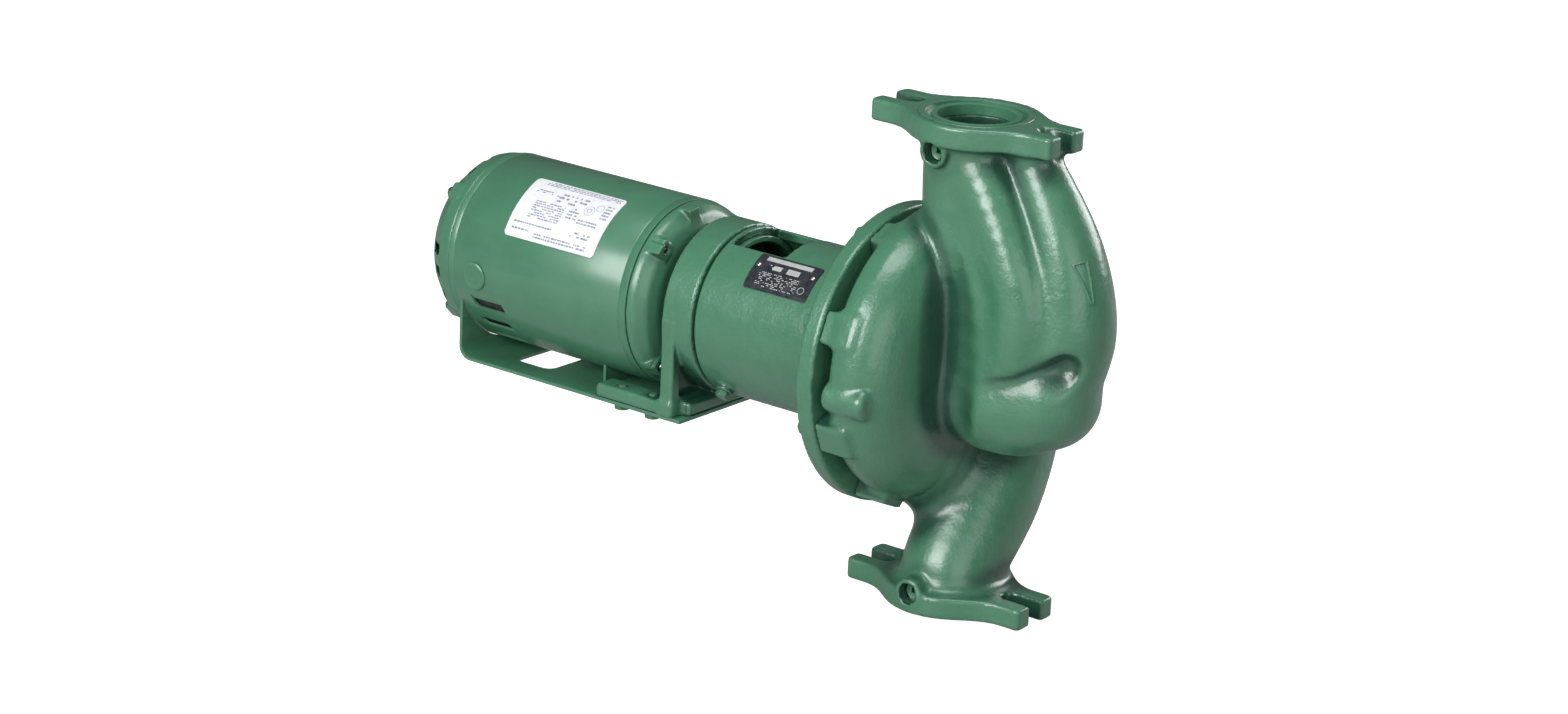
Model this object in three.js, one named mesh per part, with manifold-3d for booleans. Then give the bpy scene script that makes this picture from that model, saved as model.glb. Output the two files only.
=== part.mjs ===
// In-line centrifugal circulator pump with a flexibly coupled electric motor.
// Millimetres. +X runs along the shaft from the motor to the pump, +Z is up the pipe line, and the
// origin is where the shaft axis crosses the axis of the two pipe flanges.
import * as THREE from "three";
import { mergeVertices } from "three/addons/utils/BufferGeometryUtils.js";
import Module from "manifold-3d";

const wasm = await Module();
wasm.setup();

// ---- Driving dimensions ------------------------------------------------------------------------
const GAP = 0.3; // clearance between neighbouring pieces
const FINE = 32; // sides of a large turned part
const MEDIUM = 16; // sides of a shaft, a hub or a pipe
const COARSE = 6; // sides of a screw shank

// Pipe flanges
const TOP_FACE_Z = 217.4;
const BOTTOM_FACE_Z = -201;
const FLANGE_THICKNESS = 18.5;
const FLANGE_RADIUS = 55;
const EAR_REACH = 89.2;
const EAR_HALF_WIDTH = 25.2;
const EAR_ROOT_HALF_WIDTH = 36;
const BOLT_SLOT_HALF_WIDTH = 8.5;
const BOLT_SLOT_ROOT_X = 64;
const PORT_RADIUS = 32;
const RECESS_RADIUS = 42.1;
const RECESS_LIP_RADIUS = 36.5;
const RECESS_DEPTH = 2;
const PIPE_RADIUS = 39.5;

// Volute casing
const CASING_BACK_X = -58;
const REGISTER_RADIUS = 102;
const SCROLL_START_RADIUS = 112;
const SCROLL_GROWTH = 32;
const TONGUE_ANGLE = -105;
const CASING_WALL = 9;
const SUCTION_BORE_RADIUS = 33;
const SUCTION_RADIUS = 46;
const SUCTION_WAY = [
  [2, 0, 186],
  [28, 0, 146],
  [50, 0, 112],
  [58, 0, 78],
  [56, 0, 40],
  [48, 0, 0],
];
const BULGE_RADIUS = 38;
const BULGE_WAY = [
  [12, 0, 178],
  [50, 0, 148],
  [80, 0, 116],
  [98, 0, 80],
  [102, 0, 50],
  [94, 0, 16],
  [72, 0, 0],
];
const CHIN_RADIUS = 49;
const CHIN_CENTRE = [56, 0, -5];
const LUG_FRONT_X = -26;
const LUG_RADII = [90, 125];
const LUG_HALF_WIDTH = 14;
const CASTING_BOSS_RADIUS = 12;
const BLIND_BOSS_PLACE = [-110, -8];
const TAP_RADIUS = 7;
const TAPS = [
  { place: [-6.5, 193], face: -48 },
  { place: [-3, -184], face: -52 },
];
const CHAMBER_FRONT_X = -5;
const DISCHARGE_BORE_RADIUS = 27;
const NECK_RADIUS = 42;
const DISCHARGE_WAY = [
  [-14, 84, -58],
  [-12, 68, -88],
  [-6, 44, -118],
  [-1, 20, -150],
  [0, 3, -174],
  [0, 0, -190],
];

// Bearing bracket: mounting disc, barrel and bearing housing
const DISC_RADIUS = 127;
const DISC_FRONT_X = -58.3;
const DISC_BACK_X = -74.3;
const SPIGOT_FACE_X = -54.4;
const BARREL_RADIUS = 73.5;
const BARREL_BORE = 66;
const BARREL_BACK_X = -226;
const WINDOW_X = [-221, -164];
const WINDOW_HALF_WIDTH = 31;
const HOUSING_RADIUS = 29;
const CASING_SCREWS = 8;
const FIRST_SCREW_ANGLE = 112;
const SCREW_CIRCLE_RADIUS = 114;
const CASING_SCREW_HOLE = 5.1;
const BRACKET_SCREW_X = -207;
const BRACKET_SCREW_ANGLES = [-42, -132];
const BRACKET_SCREW_HOLE = 4;
const BRACKET_BOSS_HEIGHT = 5;
const PLATE_X = [-185.5, -119.5];
const PLATE_ANGLES = [117.5, 145];
const RIVET_X = [-181, -124];
const RIVET_ANGLE = 127;

// Pump shaft and bearings
const PUMP_SHAFT_RADIUS = 8.5;
const BEARING_OUTER_RADIUS = 20;
const BEARING_WIDTH = 12;
const BEARING_X = [-144, -110];
const BALL_CIRCLE_RADIUS = 14.4;
const BALL_RADIUS = 1.8;
const BALLS = 8;

// Impeller
const IMPELLER_RADIUS = 84;
const IMPELLER_BACK_X = -40;
const VANES = 6;
const VANE_THICKNESS = 3.2;
const VANE_WRAP = 80; // how far round a vane trails from hub to rim, in degrees

// Motor bracket
const RING_RADIUS = 74.7;
const RING_X = [-260, -228];
const RING_BORE = 60;
const WEB_FRONT_X = -246;
const WEB_BORE = 42;
const POST_HALF_WIDTH = 74.7;
const FOOT_TOP_Z = -73.6;
const FOOT_BOTTOM_Z = -85.6;
const FOOT_BACK_X = -330;
const RAIL_INNER_Y = 53;
const RAIL_OUTER_Y = 76;

// Motor
const SHELL_RADIUS = 82.1;
const SHELL_BORE = 79.9;
const SHELL_X = [-499, -295];
const STATOR_X = [-440, -355];
const STATOR_RADIUS = 79.3;
const STATOR_BORE = 47;
const ROTOR_RADIUS = 46.4;
const MOTOR_SHAFT_RADIUS = 7.94;
const THROUGH_BOLT_RADIUS = 73.5;
const BOLT_ANGLES = [45, 135, 225, 315];
const BOLT_HOLE = 2.9;
const BOLT_SEAT_HALF_WIDTH = 8;
const BUSH_RADIUS = 14;
const VENT_X = [-473, -439];
const VENT_ANGLES = [-156, -140.5, -124.5];
const VENT_HALF_WIDTH = 5;
const LEAD_HOLE_X = -468;
const LEAD_HOLE_ANGLE = -175;
const LEAD_HOLE_RADIUS = 10.4;
const LABEL_X = [-441, -339];
const LABEL_ANGLES = [110.5, 154.5];

// Motor base
const BASE_BOTTOM_Z = -88.9;
const BASE_SHEET = 3;
const BASE_HALF_WIDTH = 75;
const BASE_X = [-490, -236];
const BASE_SCREW_X = [-308, -274];
const BASE_SCREW_Y = 65;
const BASE_SCREW_HOLE = 4.3;
const BASE_OPENING_X = [-446, -405];
const BASE_OPENING_HALF_WIDTH = 50;
const FRONT_TAB_X = [-345, -342];

// Coupling
const HUB_RADIUS = 24;
const INSERT_RADIUS = 27;
const DRIVE_SET_SCREW_X = -221;
const DRIVEN_SET_SCREW_X = -184;

// ---- Finishes ----------------------------------------------------------------------------------
const finish = (color, roughness, metalness) => ({ color, roughness, metalness });
const GREEN = finish(0x52886a, 0.42, 0.1);
const STEEL = finish(0xa9adb0, 0.35, 0.9);
const ZINC = finish(0xb8b4a6, 0.45, 0.8);
const BRASS = finish(0xb08d57, 0.35, 0.9);
const BRONZE = finish(0x9a7b4f, 0.4, 0.9);
const RUBBER = finish(0x1c1c1c, 0.8, 0);
const CERAMIC = finish(0xe8e4da, 0.3, 0);
const CARBON = finish(0x2b2b2e, 0.5, 0.1);
const LAMINATION = finish(0x6b6f74, 0.5, 0.8);
const ENAMEL = finish(0x8c3f1e, 0.4, 0.3);
const PLASTIC = finish(0x26282a, 0.5, 0);
const PAPER = finish(0xe9edf0, 0.5, 0);
const PLATE = finish(0x191b1f, 0.4, 0.3);
const GASKET = finish(0x5a5046, 0.9, 0);

// ---- Solids ------------------------------------------------------------------------------------
const radians = (degrees) => (degrees * Math.PI) / 180;
const polar = (radius, degrees) => {
  const turn = radians(degrees);
  return [radius * Math.cos(turn), radius * Math.sin(turn)];
};

/** A closed three.js geometry as a manifold solid with its faces outwards. */
function solid(geometry) {
  const bare = new THREE.BufferGeometry();
  bare.setAttribute("position", geometry.getAttribute("position").clone());
  if (geometry.index) bare.setIndex(geometry.index.clone());
  const merged = mergeVertices(bare, 1e-4);
  const corners = merged.index.array;
  const kept = [];
  for (let i = 0; i < corners.length; i += 3) {
    const [a, b, c] = [corners[i], corners[i + 1], corners[i + 2]];
    if (a !== b && b !== c && c !== a) kept.push(a, b, c);
  }
  const build = (triangles) =>
    new wasm.Manifold(
      new wasm.Mesh({
        numProp: 3,
        vertProperties: merged.attributes.position.array,
        triVerts: new Uint32Array(triangles),
      }),
    );
  const made = build(kept);
  return made.volume() < 0 ? build(kept.reverse()) : made;
}

/** The union of several solids. */
const join = (first, ...others) => others.reduce((sum, next) => sum.add(next), first);

/** A solid with several others cut out of it. */
const cut = (first, ...others) => others.reduce((rest, next) => rest.subtract(next), first);

/** A block between two corners. */
function block([x0, x1], [y0, y1], [z0, z1]) {
  const geometry = new THREE.BoxGeometry(x1 - x0, y1 - y0, z1 - z0);
  geometry.translate((x0 + x1) / 2, (y0 + y1) / 2, (z0 + z1) / 2);
  return solid(geometry);
}

/** A solid of revolution about the shaft axis from a closed outline of [x, radius] points. */
function turned(outline, sides = FINE, growth = null) {
  const points = [...outline, outline[0]].map(([x, r]) => new THREE.Vector2(r, x));
  const geometry = new THREE.LatheGeometry(points, sides);
  geometry.rotateZ(-Math.PI / 2);
  if (growth) growRadially(geometry, growth);
  return solid(geometry);
}

/** Moves each vertex outwards by growth(angle in degrees, radius). */
function growRadially(geometry, growth) {
  const position = geometry.getAttribute("position");
  for (let i = 0; i < position.count; i += 1) {
    const y = position.getY(i);
    const z = position.getZ(i);
    const radius = Math.hypot(y, z);
    if (radius > 1e-6) {
      const angle = THREE.MathUtils.radToDeg(Math.atan2(z, y));
      const factor = (radius + growth(angle, radius)) / radius;
      position.setY(i, y * factor);
      position.setZ(i, z * factor);
    }
  }
}

/** A ring about the shaft axis. */
function ring([x0, x1], outer, inner, sides = FINE) {
  return turned([[x0, inner], [x1, inner], [x1, outer], [x0, outer]], sides);
}

/** A round bar along X, Y or Z through a centre point, between two places on that axis. */
function bar(axis, [from, to], radius, [u, v] = [0, 0], sides = MEDIUM) {
  const geometry = new THREE.CylinderGeometry(radius, radius, to - from, sides);
  const middle = (from + to) / 2;
  if (axis === "x") geometry.rotateZ(-Math.PI / 2).translate(middle, u, v);
  if (axis === "y") geometry.translate(u, middle, v);
  if (axis === "z") geometry.rotateX(Math.PI / 2).translate(u, v, middle);
  return solid(geometry);
}

/** A ball. */
function ball(radius, [x, y, z], across, down) {
  return solid(new THREE.SphereGeometry(radius, across, down).translate(x, y, z));
}

/** A flat outline of [x, y] points raised along Z. */
function raised(points, [from, to]) {
  const shape = new THREE.Shape(points.map(([x, y]) => new THREE.Vector2(x, y)));
  const geometry = new THREE.ExtrudeGeometry(shape, { depth: to - from, bevelEnabled: false });
  return solid(geometry.translate(0, 0, from));
}

/** A round bar swept along a smooth curve through the given points. */
function swept(points, radius, sides = 12, steps = 9) {
  const path = new THREE.CatmullRomCurve3(points.map((p) => new THREE.Vector3(...p)));
  const circle = new THREE.Shape().absarc(0, 0, radius, 0, 2 * Math.PI);
  const geometry = new THREE.ExtrudeGeometry(circle, {
    steps,
    curveSegments: sides / 2,
    extrudePath: path,
  });
  return solid(geometry);
}

/** A curved plate wrapped round the shaft axis between two radii, two places and two angles. */
function wrapped([x0, x1], [inner, outer], [fromAngle, toAngle], sides = 4) {
  const shape = new THREE.Shape();
  shape.absarc(0, 0, outer, radians(fromAngle), radians(toAngle), false);
  shape.absarc(0, 0, inner, radians(toAngle), radians(fromAngle), true);
  const geometry = new THREE.ExtrudeGeometry(shape, {
    depth: x1 - x0,
    bevelEnabled: false,
    curveSegments: sides,
  });
  geometry.applyMatrix4(new THREE.Matrix4().set(0, 0, 1, x0, 1, 0, 0, 0, 0, 1, 0, 0, 0, 0, 0, 1));
  return solid(geometry);
}

/** Turns a solid about the shaft axis. */
const spun = (body, degrees) => body.rotate([degrees, 0, 0]);

const group = new THREE.Group();

/** Adds a finished solid to the model under a name, with a finish of its own. */
function piece(name, body, { color, roughness, metalness }) {
  const { numProp, vertProperties, triVerts } = body.getMesh();
  const geometry = new THREE.BufferGeometry();
  geometry.setAttribute("position", new THREE.BufferAttribute(vertProperties, numProp));
  geometry.setIndex(new THREE.BufferAttribute(triVerts, 1));
  geometry.computeVertexNormals();
  const material = new THREE.MeshStandardMaterial({ color, roughness, metalness });
  const mesh = new THREE.Mesh(geometry, material);
  mesh.name = name;
  group.add(mesh);
}

/** A hexagon-head screw along X with its head's underside at headX, its shank running towards +X. */
function screwAlongX(headX, length, shankRadius, acrossFlats, headHeight, [y, z]) {
  const headRadius = acrossFlats / Math.sqrt(3);
  const head = bar("x", [headX - headHeight, headX], headRadius, [y, z], 6);
  return join(head, bar("x", [headX - 1, headX + length], shankRadius, [y, z], COARSE));
}

// ---- Pump casing -------------------------------------------------------------------------------
/** How much further out than its start the scroll has grown at an angle round the shaft. */
function scrollGrowth(angle) {
  const travelled = ((TONGUE_ANGLE - angle + 720) % 360) / 360;
  const rise = Math.min(travelled / 0.86, 1);
  const fall = Math.max((travelled - 0.86) / 0.14, 0);
  return SCROLL_GROWTH * rise * (1 - fall * fall);
}

/** Growth that leaves everything inside a given radius round. */
const scrollBeyond = (limit) => (angle, radius) => (radius > limit ? scrollGrowth(angle) : 0);

/** The outline of one flange seen from above: a disc with a forked ear at each end. */
function flangeOutline() {
  const arcStart = Math.atan2(EAR_ROOT_HALF_WIDTH, Math.sqrt(FLANGE_RADIUS ** 2 - EAR_ROOT_HALF_WIDTH ** 2));
  const ear = [
    [EAR_REACH - 22, -EAR_HALF_WIDTH],
    [EAR_REACH, -EAR_HALF_WIDTH],
    [EAR_REACH, -BOLT_SLOT_HALF_WIDTH],
  ];
  for (let step = 0; step <= 4; step += 1) {
    const turn = -Math.PI / 2 - (step * Math.PI) / 4;
    ear.push([
      BOLT_SLOT_ROOT_X + BOLT_SLOT_HALF_WIDTH * Math.cos(turn),
      BOLT_SLOT_HALF_WIDTH * Math.sin(turn),
    ]);
  }
  ear.push([EAR_REACH, BOLT_SLOT_HALF_WIDTH], [EAR_REACH, EAR_HALF_WIDTH], [EAR_REACH - 22, EAR_HALF_WIDTH]);
  const side = [];
  for (let step = 0; step <= 10; step += 1) {
    const turn = arcStart + ((Math.PI - 2 * arcStart) * step) / 10;
    side.push([FLANGE_RADIUS * Math.cos(turn), FLANGE_RADIUS * Math.sin(turn)]);
  }
  const half = [...ear, ...side];
  return [...half, ...half.map(([x, y]) => [-x, -y])];
}

/** The angles of the casing screws round the shaft. */
function screwAngles() {
  return Array.from({ length: CASING_SCREWS }, (_, i) => FIRST_SCREW_ANGLE + (i * 360) / CASING_SCREWS);
}

/** The casing's outside: scroll, suction passage, discharge neck, flanges, lugs and bosses. */
function casingOutside() {
  const start = SCROLL_START_RADIUS;
  const scroll = turned(
    [
      [-50, 0],
      [-50, start - 7],
      [-42, start],
      [-22, start],
      [-4, start - 8],
      [10, start - 24],
      [20, 70],
      [26, 40],
      [28, 0],
    ],
    FINE,
    scrollBeyond(80),
  );
  const suction = swept(SUCTION_WAY, SUCTION_RADIUS);
  const bulge = swept(BULGE_WAY, BULGE_RADIUS);
  const chin = ball(CHIN_RADIUS, CHIN_CENTRE, 14, 9);
  const neck = bar("z", [90, TOP_FACE_Z - 10], PIPE_RADIUS);
  const discharge = swept(DISCHARGE_WAY, NECK_RADIUS);
  const foot = bar("z", [BOTTOM_FACE_Z + 4, -172], NECK_RADIUS);
  const flanges = [
    raised(flangeOutline(), [TOP_FACE_Z - FLANGE_THICKNESS, TOP_FACE_Z]),
    raised(flangeOutline(), [BOTTOM_FACE_Z, BOTTOM_FACE_Z + FLANGE_THICKNESS]),
  ];
  const lugs = screwAngles().map((angle) =>
    spun(block([CASING_BACK_X, LUG_FRONT_X], LUG_RADII, [-LUG_HALF_WIDTH, LUG_HALF_WIDTH]), angle),
  );
  const rim = ring([CASING_BACK_X, -44], SCROLL_START_RADIUS - 1, 60);
  const blindBoss = bar("x", [-50, -15], CASTING_BOSS_RADIUS, BLIND_BOSS_PLACE, 16);
  const taps = TAPS.map(({ place, face }) => bar("y", [face, -20], CASTING_BOSS_RADIUS, place, 16));
  const pipework = join(suction, bulge, chin, neck, discharge, foot);
  const whole = join(scroll, pipework, ...flanges, ...lugs, rim, blindBoss, ...taps);
  return cut(whole, block([CASING_BACK_X - 40, CASING_BACK_X], [20, 140], [-140, 0]));
}

/** What is cut out of the casing: impeller chamber, scroll channel, both ports and the tappings. */
function casingHollows() {
  const channel = SCROLL_START_RADIUS - CASING_WALL;
  const chamber = turned(
    [
      [-70, 0],
      [-70, REGISTER_RADIUS],
      [-52.9, REGISTER_RADIUS],
      [-52.9, 95],
      [-46, 95],
      [CHAMBER_FRONT_X, 95],
      [CHAMBER_FRONT_X, 0],
    ],
    FINE,
  );
  const scroll = turned(
    [
      [-44, 70],
      [-44, channel - 3],
      [-38, channel],
      [-22, channel],
      [-10, channel - 10],
      [-8, 70],
    ],
    FINE,
    scrollBeyond(80),
  );
  const suctionWay = [
    [0, 0, TOP_FACE_Z + 8],
    [2, 0, 196],
    [18, 0, 164],
    [46, 0, 132],
    [68, 0, 96],
    [78, 0, 58],
    [68, 0, 20],
    [40, 0, 2],
    [16, 0, 0],
    [-8, 0, 0],
  ];
  const wearPocket = bar("x", [CHAMBER_FRONT_X - 1, 4], 44.4, [0, 0], FINE);
  const discharge = swept([...DISCHARGE_WAY, [0, 0, BOTTOM_FACE_Z - 10]], DISCHARGE_BORE_RADIUS);
  const recesses = [TOP_FACE_Z, BOTTOM_FACE_Z].map((face) => {
    const groove = bar("z", [face - RECESS_DEPTH, face + RECESS_DEPTH], RECESS_RADIUS);
    return cut(groove, bar("z", [face - 9, face + 9], RECESS_LIP_RADIUS));
  });
  const ports = [
    bar("z", [TOP_FACE_Z - 30, TOP_FACE_Z + 9], PORT_RADIUS),
    bar("z", [BOTTOM_FACE_Z - 9, BOTTOM_FACE_Z + 30], PORT_RADIUS),
  ];
  const taps = TAPS.map(({ place, face }) => bar("y", [face - 12, -28], TAP_RADIUS, place, 16));
  const screwHoles = screwAngles().map((angle) =>
    spun(bar("x", [CASING_BACK_X - 5, -34], CASING_SCREW_HOLE, [SCREW_CIRCLE_RADIUS, 0], COARSE), angle),
  );
  return [
    chamber,
    scroll,
    wearPocket,
    swept(suctionWay, SUCTION_BORE_RADIUS, 12, 12),
    discharge,
    ...recesses,
    ...ports,
    ...taps,
    ...screwHoles,
  ];
}

/** The cast casing with the pieces that stay in it. */
function addCasing() {
  piece("pump_casing", cut(casingOutside(), ...casingHollows()), GREEN);
  piece("casing_gasket", ring([-54.1, -53.2], 101.4, 95.6), GASKET);
  piece("wear_ring", ring([CHAMBER_FRONT_X + 0.2, 3.6], 44, 41), BRONZE);
  const [upper, lower] = TAPS;
  piece("gauge_plug_upper", gaugePlug(upper), GREEN);
  piece("gauge_plug_lower", gaugePlug(lower), GREEN);
}

/** A threaded plug with a square socket, screwed into a tapping that opens towards -Y. */
function gaugePlug({ place, face }) {
  const [x, z] = place;
  const plug = bar("y", [face + 1, face + 15], TAP_RADIUS - 0.4, place, 16);
  return cut(plug, block([x - 2.6, x + 2.6], [face, face + 7], [z - 2.6, z + 2.6]));
}

// ---- Bearing bracket ---------------------------------------------------------------------------
/** The bracket casting: disc, barrel open at the back, bearing housing inside and access window. */
function bearingBracket() {
  const [rearBearing, frontBearing] = BEARING_X;
  const bearingBore = BEARING_OUTER_RADIUS + GAP;
  const body = turned([
    [SPIGOT_FACE_X, 19],
    [SPIGOT_FACE_X, REGISTER_RADIUS - GAP],
    [DISC_FRONT_X, REGISTER_RADIUS - GAP],
    [DISC_FRONT_X, DISC_RADIUS],
    [DISC_BACK_X, DISC_RADIUS],
    [DISC_BACK_X, BARREL_RADIUS + 4],
    [DISC_BACK_X - 8, BARREL_RADIUS],
    [BARREL_BACK_X, BARREL_RADIUS],
    [BARREL_BACK_X, BARREL_BORE],
    [-92, BARREL_BORE],
    [-84, 56],
    [-84, HOUSING_RADIUS + 6],
    [-90, HOUSING_RADIUS],
    [rearBearing - 10, HOUSING_RADIUS],
    [rearBearing - 10, bearingBore],
    [rearBearing - 3.2, bearingBore],
    [rearBearing - 3.2, bearingBore + 1.4],
    [rearBearing - 1.2, bearingBore + 1.4],
    [rearBearing - 1.2, bearingBore],
    [frontBearing + BEARING_WIDTH + GAP, bearingBore],
    [frontBearing + BEARING_WIDTH + GAP, 12],
    [-66, 12],
    [-66, 19],
  ]);
  const window = block(WINDOW_X, [-WINDOW_HALF_WIDTH, WINDOW_HALF_WIDTH], [30, 90]);
  const bossTop = BARREL_RADIUS + BRACKET_BOSS_HEIGHT;
  const bosses = BRACKET_SCREW_ANGLES.map((angle) =>
    spun(bar("y", [BARREL_RADIUS - 3, bossTop], 8, [BRACKET_SCREW_X, 0], 14), angle),
  );
  const holes = BRACKET_SCREW_ANGLES.map((angle) =>
    spun(bar("y", [55, 90], BRACKET_SCREW_HOLE, [BRACKET_SCREW_X, 0], COARSE), angle),
  );
  const discDepth = [DISC_BACK_X - 5, DISC_FRONT_X + 5];
  const screwHoles = screwAngles().map((angle) =>
    spun(bar("x", discDepth, CASING_SCREW_HOLE, [SCREW_CIRCLE_RADIUS, 0], COARSE), angle),
  );
  return cut(join(body, ...bosses), window, ...holes, ...screwHoles, ...rivetHoles());
}

/** The two rivet holes that run through the nameplate into the barrel. */
const rivetHoles = () => RIVET_X.map((x) => spun(bar("y", [60, 90], 1.7, [x, 0], 8), RIVET_ANGLE));

/** The bracket with its screws, nameplate and rivets. */
function addBearingBracket() {
  piece("bearing_bracket", bearingBracket(), GREEN);
  screwAngles().forEach((angle, i) => {
    const screw = screwAlongX(DISC_BACK_X - GAP, 36, 4.76, 14.3, 6.2, [SCREW_CIRCLE_RADIUS, 0]);
    piece(`casing_screw_${i + 1}`, spun(screw, angle), GREEN);
  });
  const seat = BARREL_RADIUS + BRACKET_BOSS_HEIGHT;
  BRACKET_SCREW_ANGLES.forEach((angle, i) => {
    const head = bar("y", [seat + GAP, seat + 5], 6, [BRACKET_SCREW_X, 0], 6);
    const shank = bar("y", [68, seat + 1], BRACKET_SCREW_HOLE - GAP, [BRACKET_SCREW_X, 0], COARSE);
    piece(`bracket_screw_${i + 1}`, spun(join(head, shank), angle), GREEN);
  });
  const plateInner = BARREL_RADIUS + GAP;
  const plate = wrapped(PLATE_X, [plateInner, plateInner + 0.6], PLATE_ANGLES);
  piece("pump_nameplate", cut(plate, ...rivetHoles()), PLATE);
  RIVET_X.forEach((x, i) => {
    const rivet = bar("y", [69, plateInner + 1.5], 1.4, [x, 0], 8);
    piece(`nameplate_rivet_${i + 1}`, spun(rivet, RIVET_ANGLE), STEEL);
  });
}

/** One deep-groove ball bearing: two rings, and the balls held together by their cage. */
function addBearing(place, x) {
  const span = [x, x + BEARING_WIDTH];
  piece(`bearing_outer_ring_${place}`, ring(span, BEARING_OUTER_RADIUS, 16.5, 32), STEEL);
  piece(`bearing_inner_ring_${place}`, ring(span, 12.3, PUMP_SHAFT_RADIUS + GAP, MEDIUM), STEEL);
  const middle = x + BEARING_WIDTH / 2;
  const cage = ring([middle - 1, middle + 1], BALL_CIRCLE_RADIUS + 0.9, BALL_CIRCLE_RADIUS - 0.9, 2 * BALLS);
  const balls = [];
  for (let i = 0; i < BALLS; i += 1) {
    balls.push(ball(BALL_RADIUS, [middle, ...polar(BALL_CIRCLE_RADIUS, (i * 360) / BALLS)], 6, 4));
  }
  piece(`bearing_balls_${place}`, join(cage, ...balls), BRASS);
}

/** Everything that turns with the pump shaft, and the two bearings and the seal that it runs in. */
function addPumpRotor() {
  const impellerScrewHole = bar("x", [-34, -10], 4.2, [0, 0], COARSE);
  const shaft = turned(
    [
      [-198, 0],
      [-198, PUMP_SHAFT_RADIUS - 1],
      [-197, PUMP_SHAFT_RADIUS],
      [-16, PUMP_SHAFT_RADIUS],
      [-16, 0],
    ],
    MEDIUM,
  );
  piece("pump_shaft", cut(shaft, impellerScrewHole), STEEL);
  addBearing("rear", BEARING_X[0]);
  addBearing("front", BEARING_X[1]);
  const clip = ring([BEARING_X[0] - 2.9, BEARING_X[0] - 1.5], BEARING_OUTER_RADIUS + 1.5, 16, 32);
  piece("bearing_retaining_ring", cut(clip, block([-160, -120], [-4, 4], [-30, 0])), STEEL);
  piece("seal_seat", ring([-65.6, -57], 18.6, 9.4, MEDIUM), CERAMIC);
  piece("seal_rotating_head", ring([-56.6, -50], 15.5, PUMP_SHAFT_RADIUS + GAP, MEDIUM), CARBON);
  piece("seal_spring", sealSpring(), STEEL);
  piece("impeller", impeller(), BRONZE);
  const screw = join(bar("x", [-13.7, -8], 7.2, [0, 0], 6), bar("x", [-32, -13], 3.9, [0, 0], COARSE));
  piece("impeller_screw", screw, STEEL);
}

/** The coil spring that presses the seal's turning face forward, ground flat on its last turns. */
function sealSpring() {
  const [from, to] = [-49.4, -41];
  const coilRadius = 12.5;
  const wire = 0.9;
  const turns = 2.5;
  const points = [];
  for (let i = 0; i <= 40; i += 1) {
    const turn = (i / 40) * turns * 2 * Math.PI;
    const x = from + wire + ((to - from - 2 * wire) * i) / 40;
    points.push([x, coilRadius * Math.cos(turn), coilRadius * Math.sin(turn)]);
  }
  return swept(points, wire, 6, 36);
}

/** The closed impeller: hub, back shroud, swept-back vanes, front shroud and eye ring. */
function impeller() {
  const back = IMPELLER_BACK_X;
  const rear = turned([
    [back, PUMP_SHAFT_RADIUS + GAP],
    [back, IMPELLER_RADIUS],
    [back + 3.5, IMPELLER_RADIUS],
    [back + 5, 30],
    [-20, 16],
    [-14, 14],
    [-14, 4.3],
    [-15.6, 4.3],
    [-15.6, PUMP_SHAFT_RADIUS + GAP],
  ]);
  const front = turned([
    [-24, IMPELLER_RADIUS],
    [-20.5, IMPELLER_RADIUS],
    [-8, 42],
    [-7, 40.5],
    [2, 40.5],
    [2, 35.5],
    [-9, 35.5],
  ]);
  const vanes = [];
  for (let i = 0; i < VANES; i += 1) vanes.push(spun(vane(), (i * 360) / VANES));
  return join(rear, front, ...vanes);
}

/** One vane: a thin arc that leaves the hub and lags behind the turn as it nears the rim. */
function vane() {
  const steps = 4;
  const line = [];
  for (let i = 0; i <= steps; i += 1) {
    const share = i / steps;
    line.push(polar(24 + (IMPELLER_RADIUS - 25) * share, VANE_WRAP * share));
  }
  const side = (sign) =>
    line.map(([y, z]) => {
      const r = Math.hypot(y, z);
      const lean = (sign * VANE_THICKNESS) / 2 / r;
      return [y * Math.cos(lean) - z * Math.sin(lean), y * Math.sin(lean) + z * Math.cos(lean)];
    });
  const corners = [...side(1), ...side(-1).reverse()];
  const shape = new THREE.Shape(corners.map(([y, z]) => new THREE.Vector2(y, z)));
  const geometry = new THREE.ExtrudeGeometry(shape, { depth: 30, bevelEnabled: false });
  geometry.applyMatrix4(new THREE.Matrix4().set(0, 0, 1, -38, 1, 0, 0, 0, 0, 1, 0, 0, 0, 0, 0, 1));
  const channel = turned([
    [IMPELLER_BACK_X + 2, 22],
    [IMPELLER_BACK_X + 2, IMPELLER_RADIUS - 0.5],
    [-22, IMPELLER_RADIUS - 0.5],
    [-8.6, 39],
    [-8.6, 34],
    [-20, 22],
  ]);
  return solid(geometry).intersect(channel);
}

// ---- Coupling ----------------------------------------------------------------------------------
/** One coupling hub on a shaft, with a radial hole for its set screw. */
function couplingHub([x0, x1], bore, screwX) {
  const hub = turned(
    [
      [x0, bore],
      [x0, HUB_RADIUS - 2],
      [x0 + 2, HUB_RADIUS],
      [x1 - 2, HUB_RADIUS],
      [x1, HUB_RADIUS - 2],
      [x1, bore],
    ],
    MEDIUM,
  );
  return cut(hub, bar("z", [0, 40], 3.4, [screwX, 0], COARSE));
}

/** A hub's set screw, standing a little out of its hole. */
function setScrew(screwX, shaftRadius) {
  const screw = bar("z", [shaftRadius + GAP, HUB_RADIUS + 3], 3, [screwX, 0], COARSE);
  return cut(screw, bar("z", [HUB_RADIUS - 1, HUB_RADIUS + 9], 1.5, [screwX, 0], 6));
}

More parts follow.
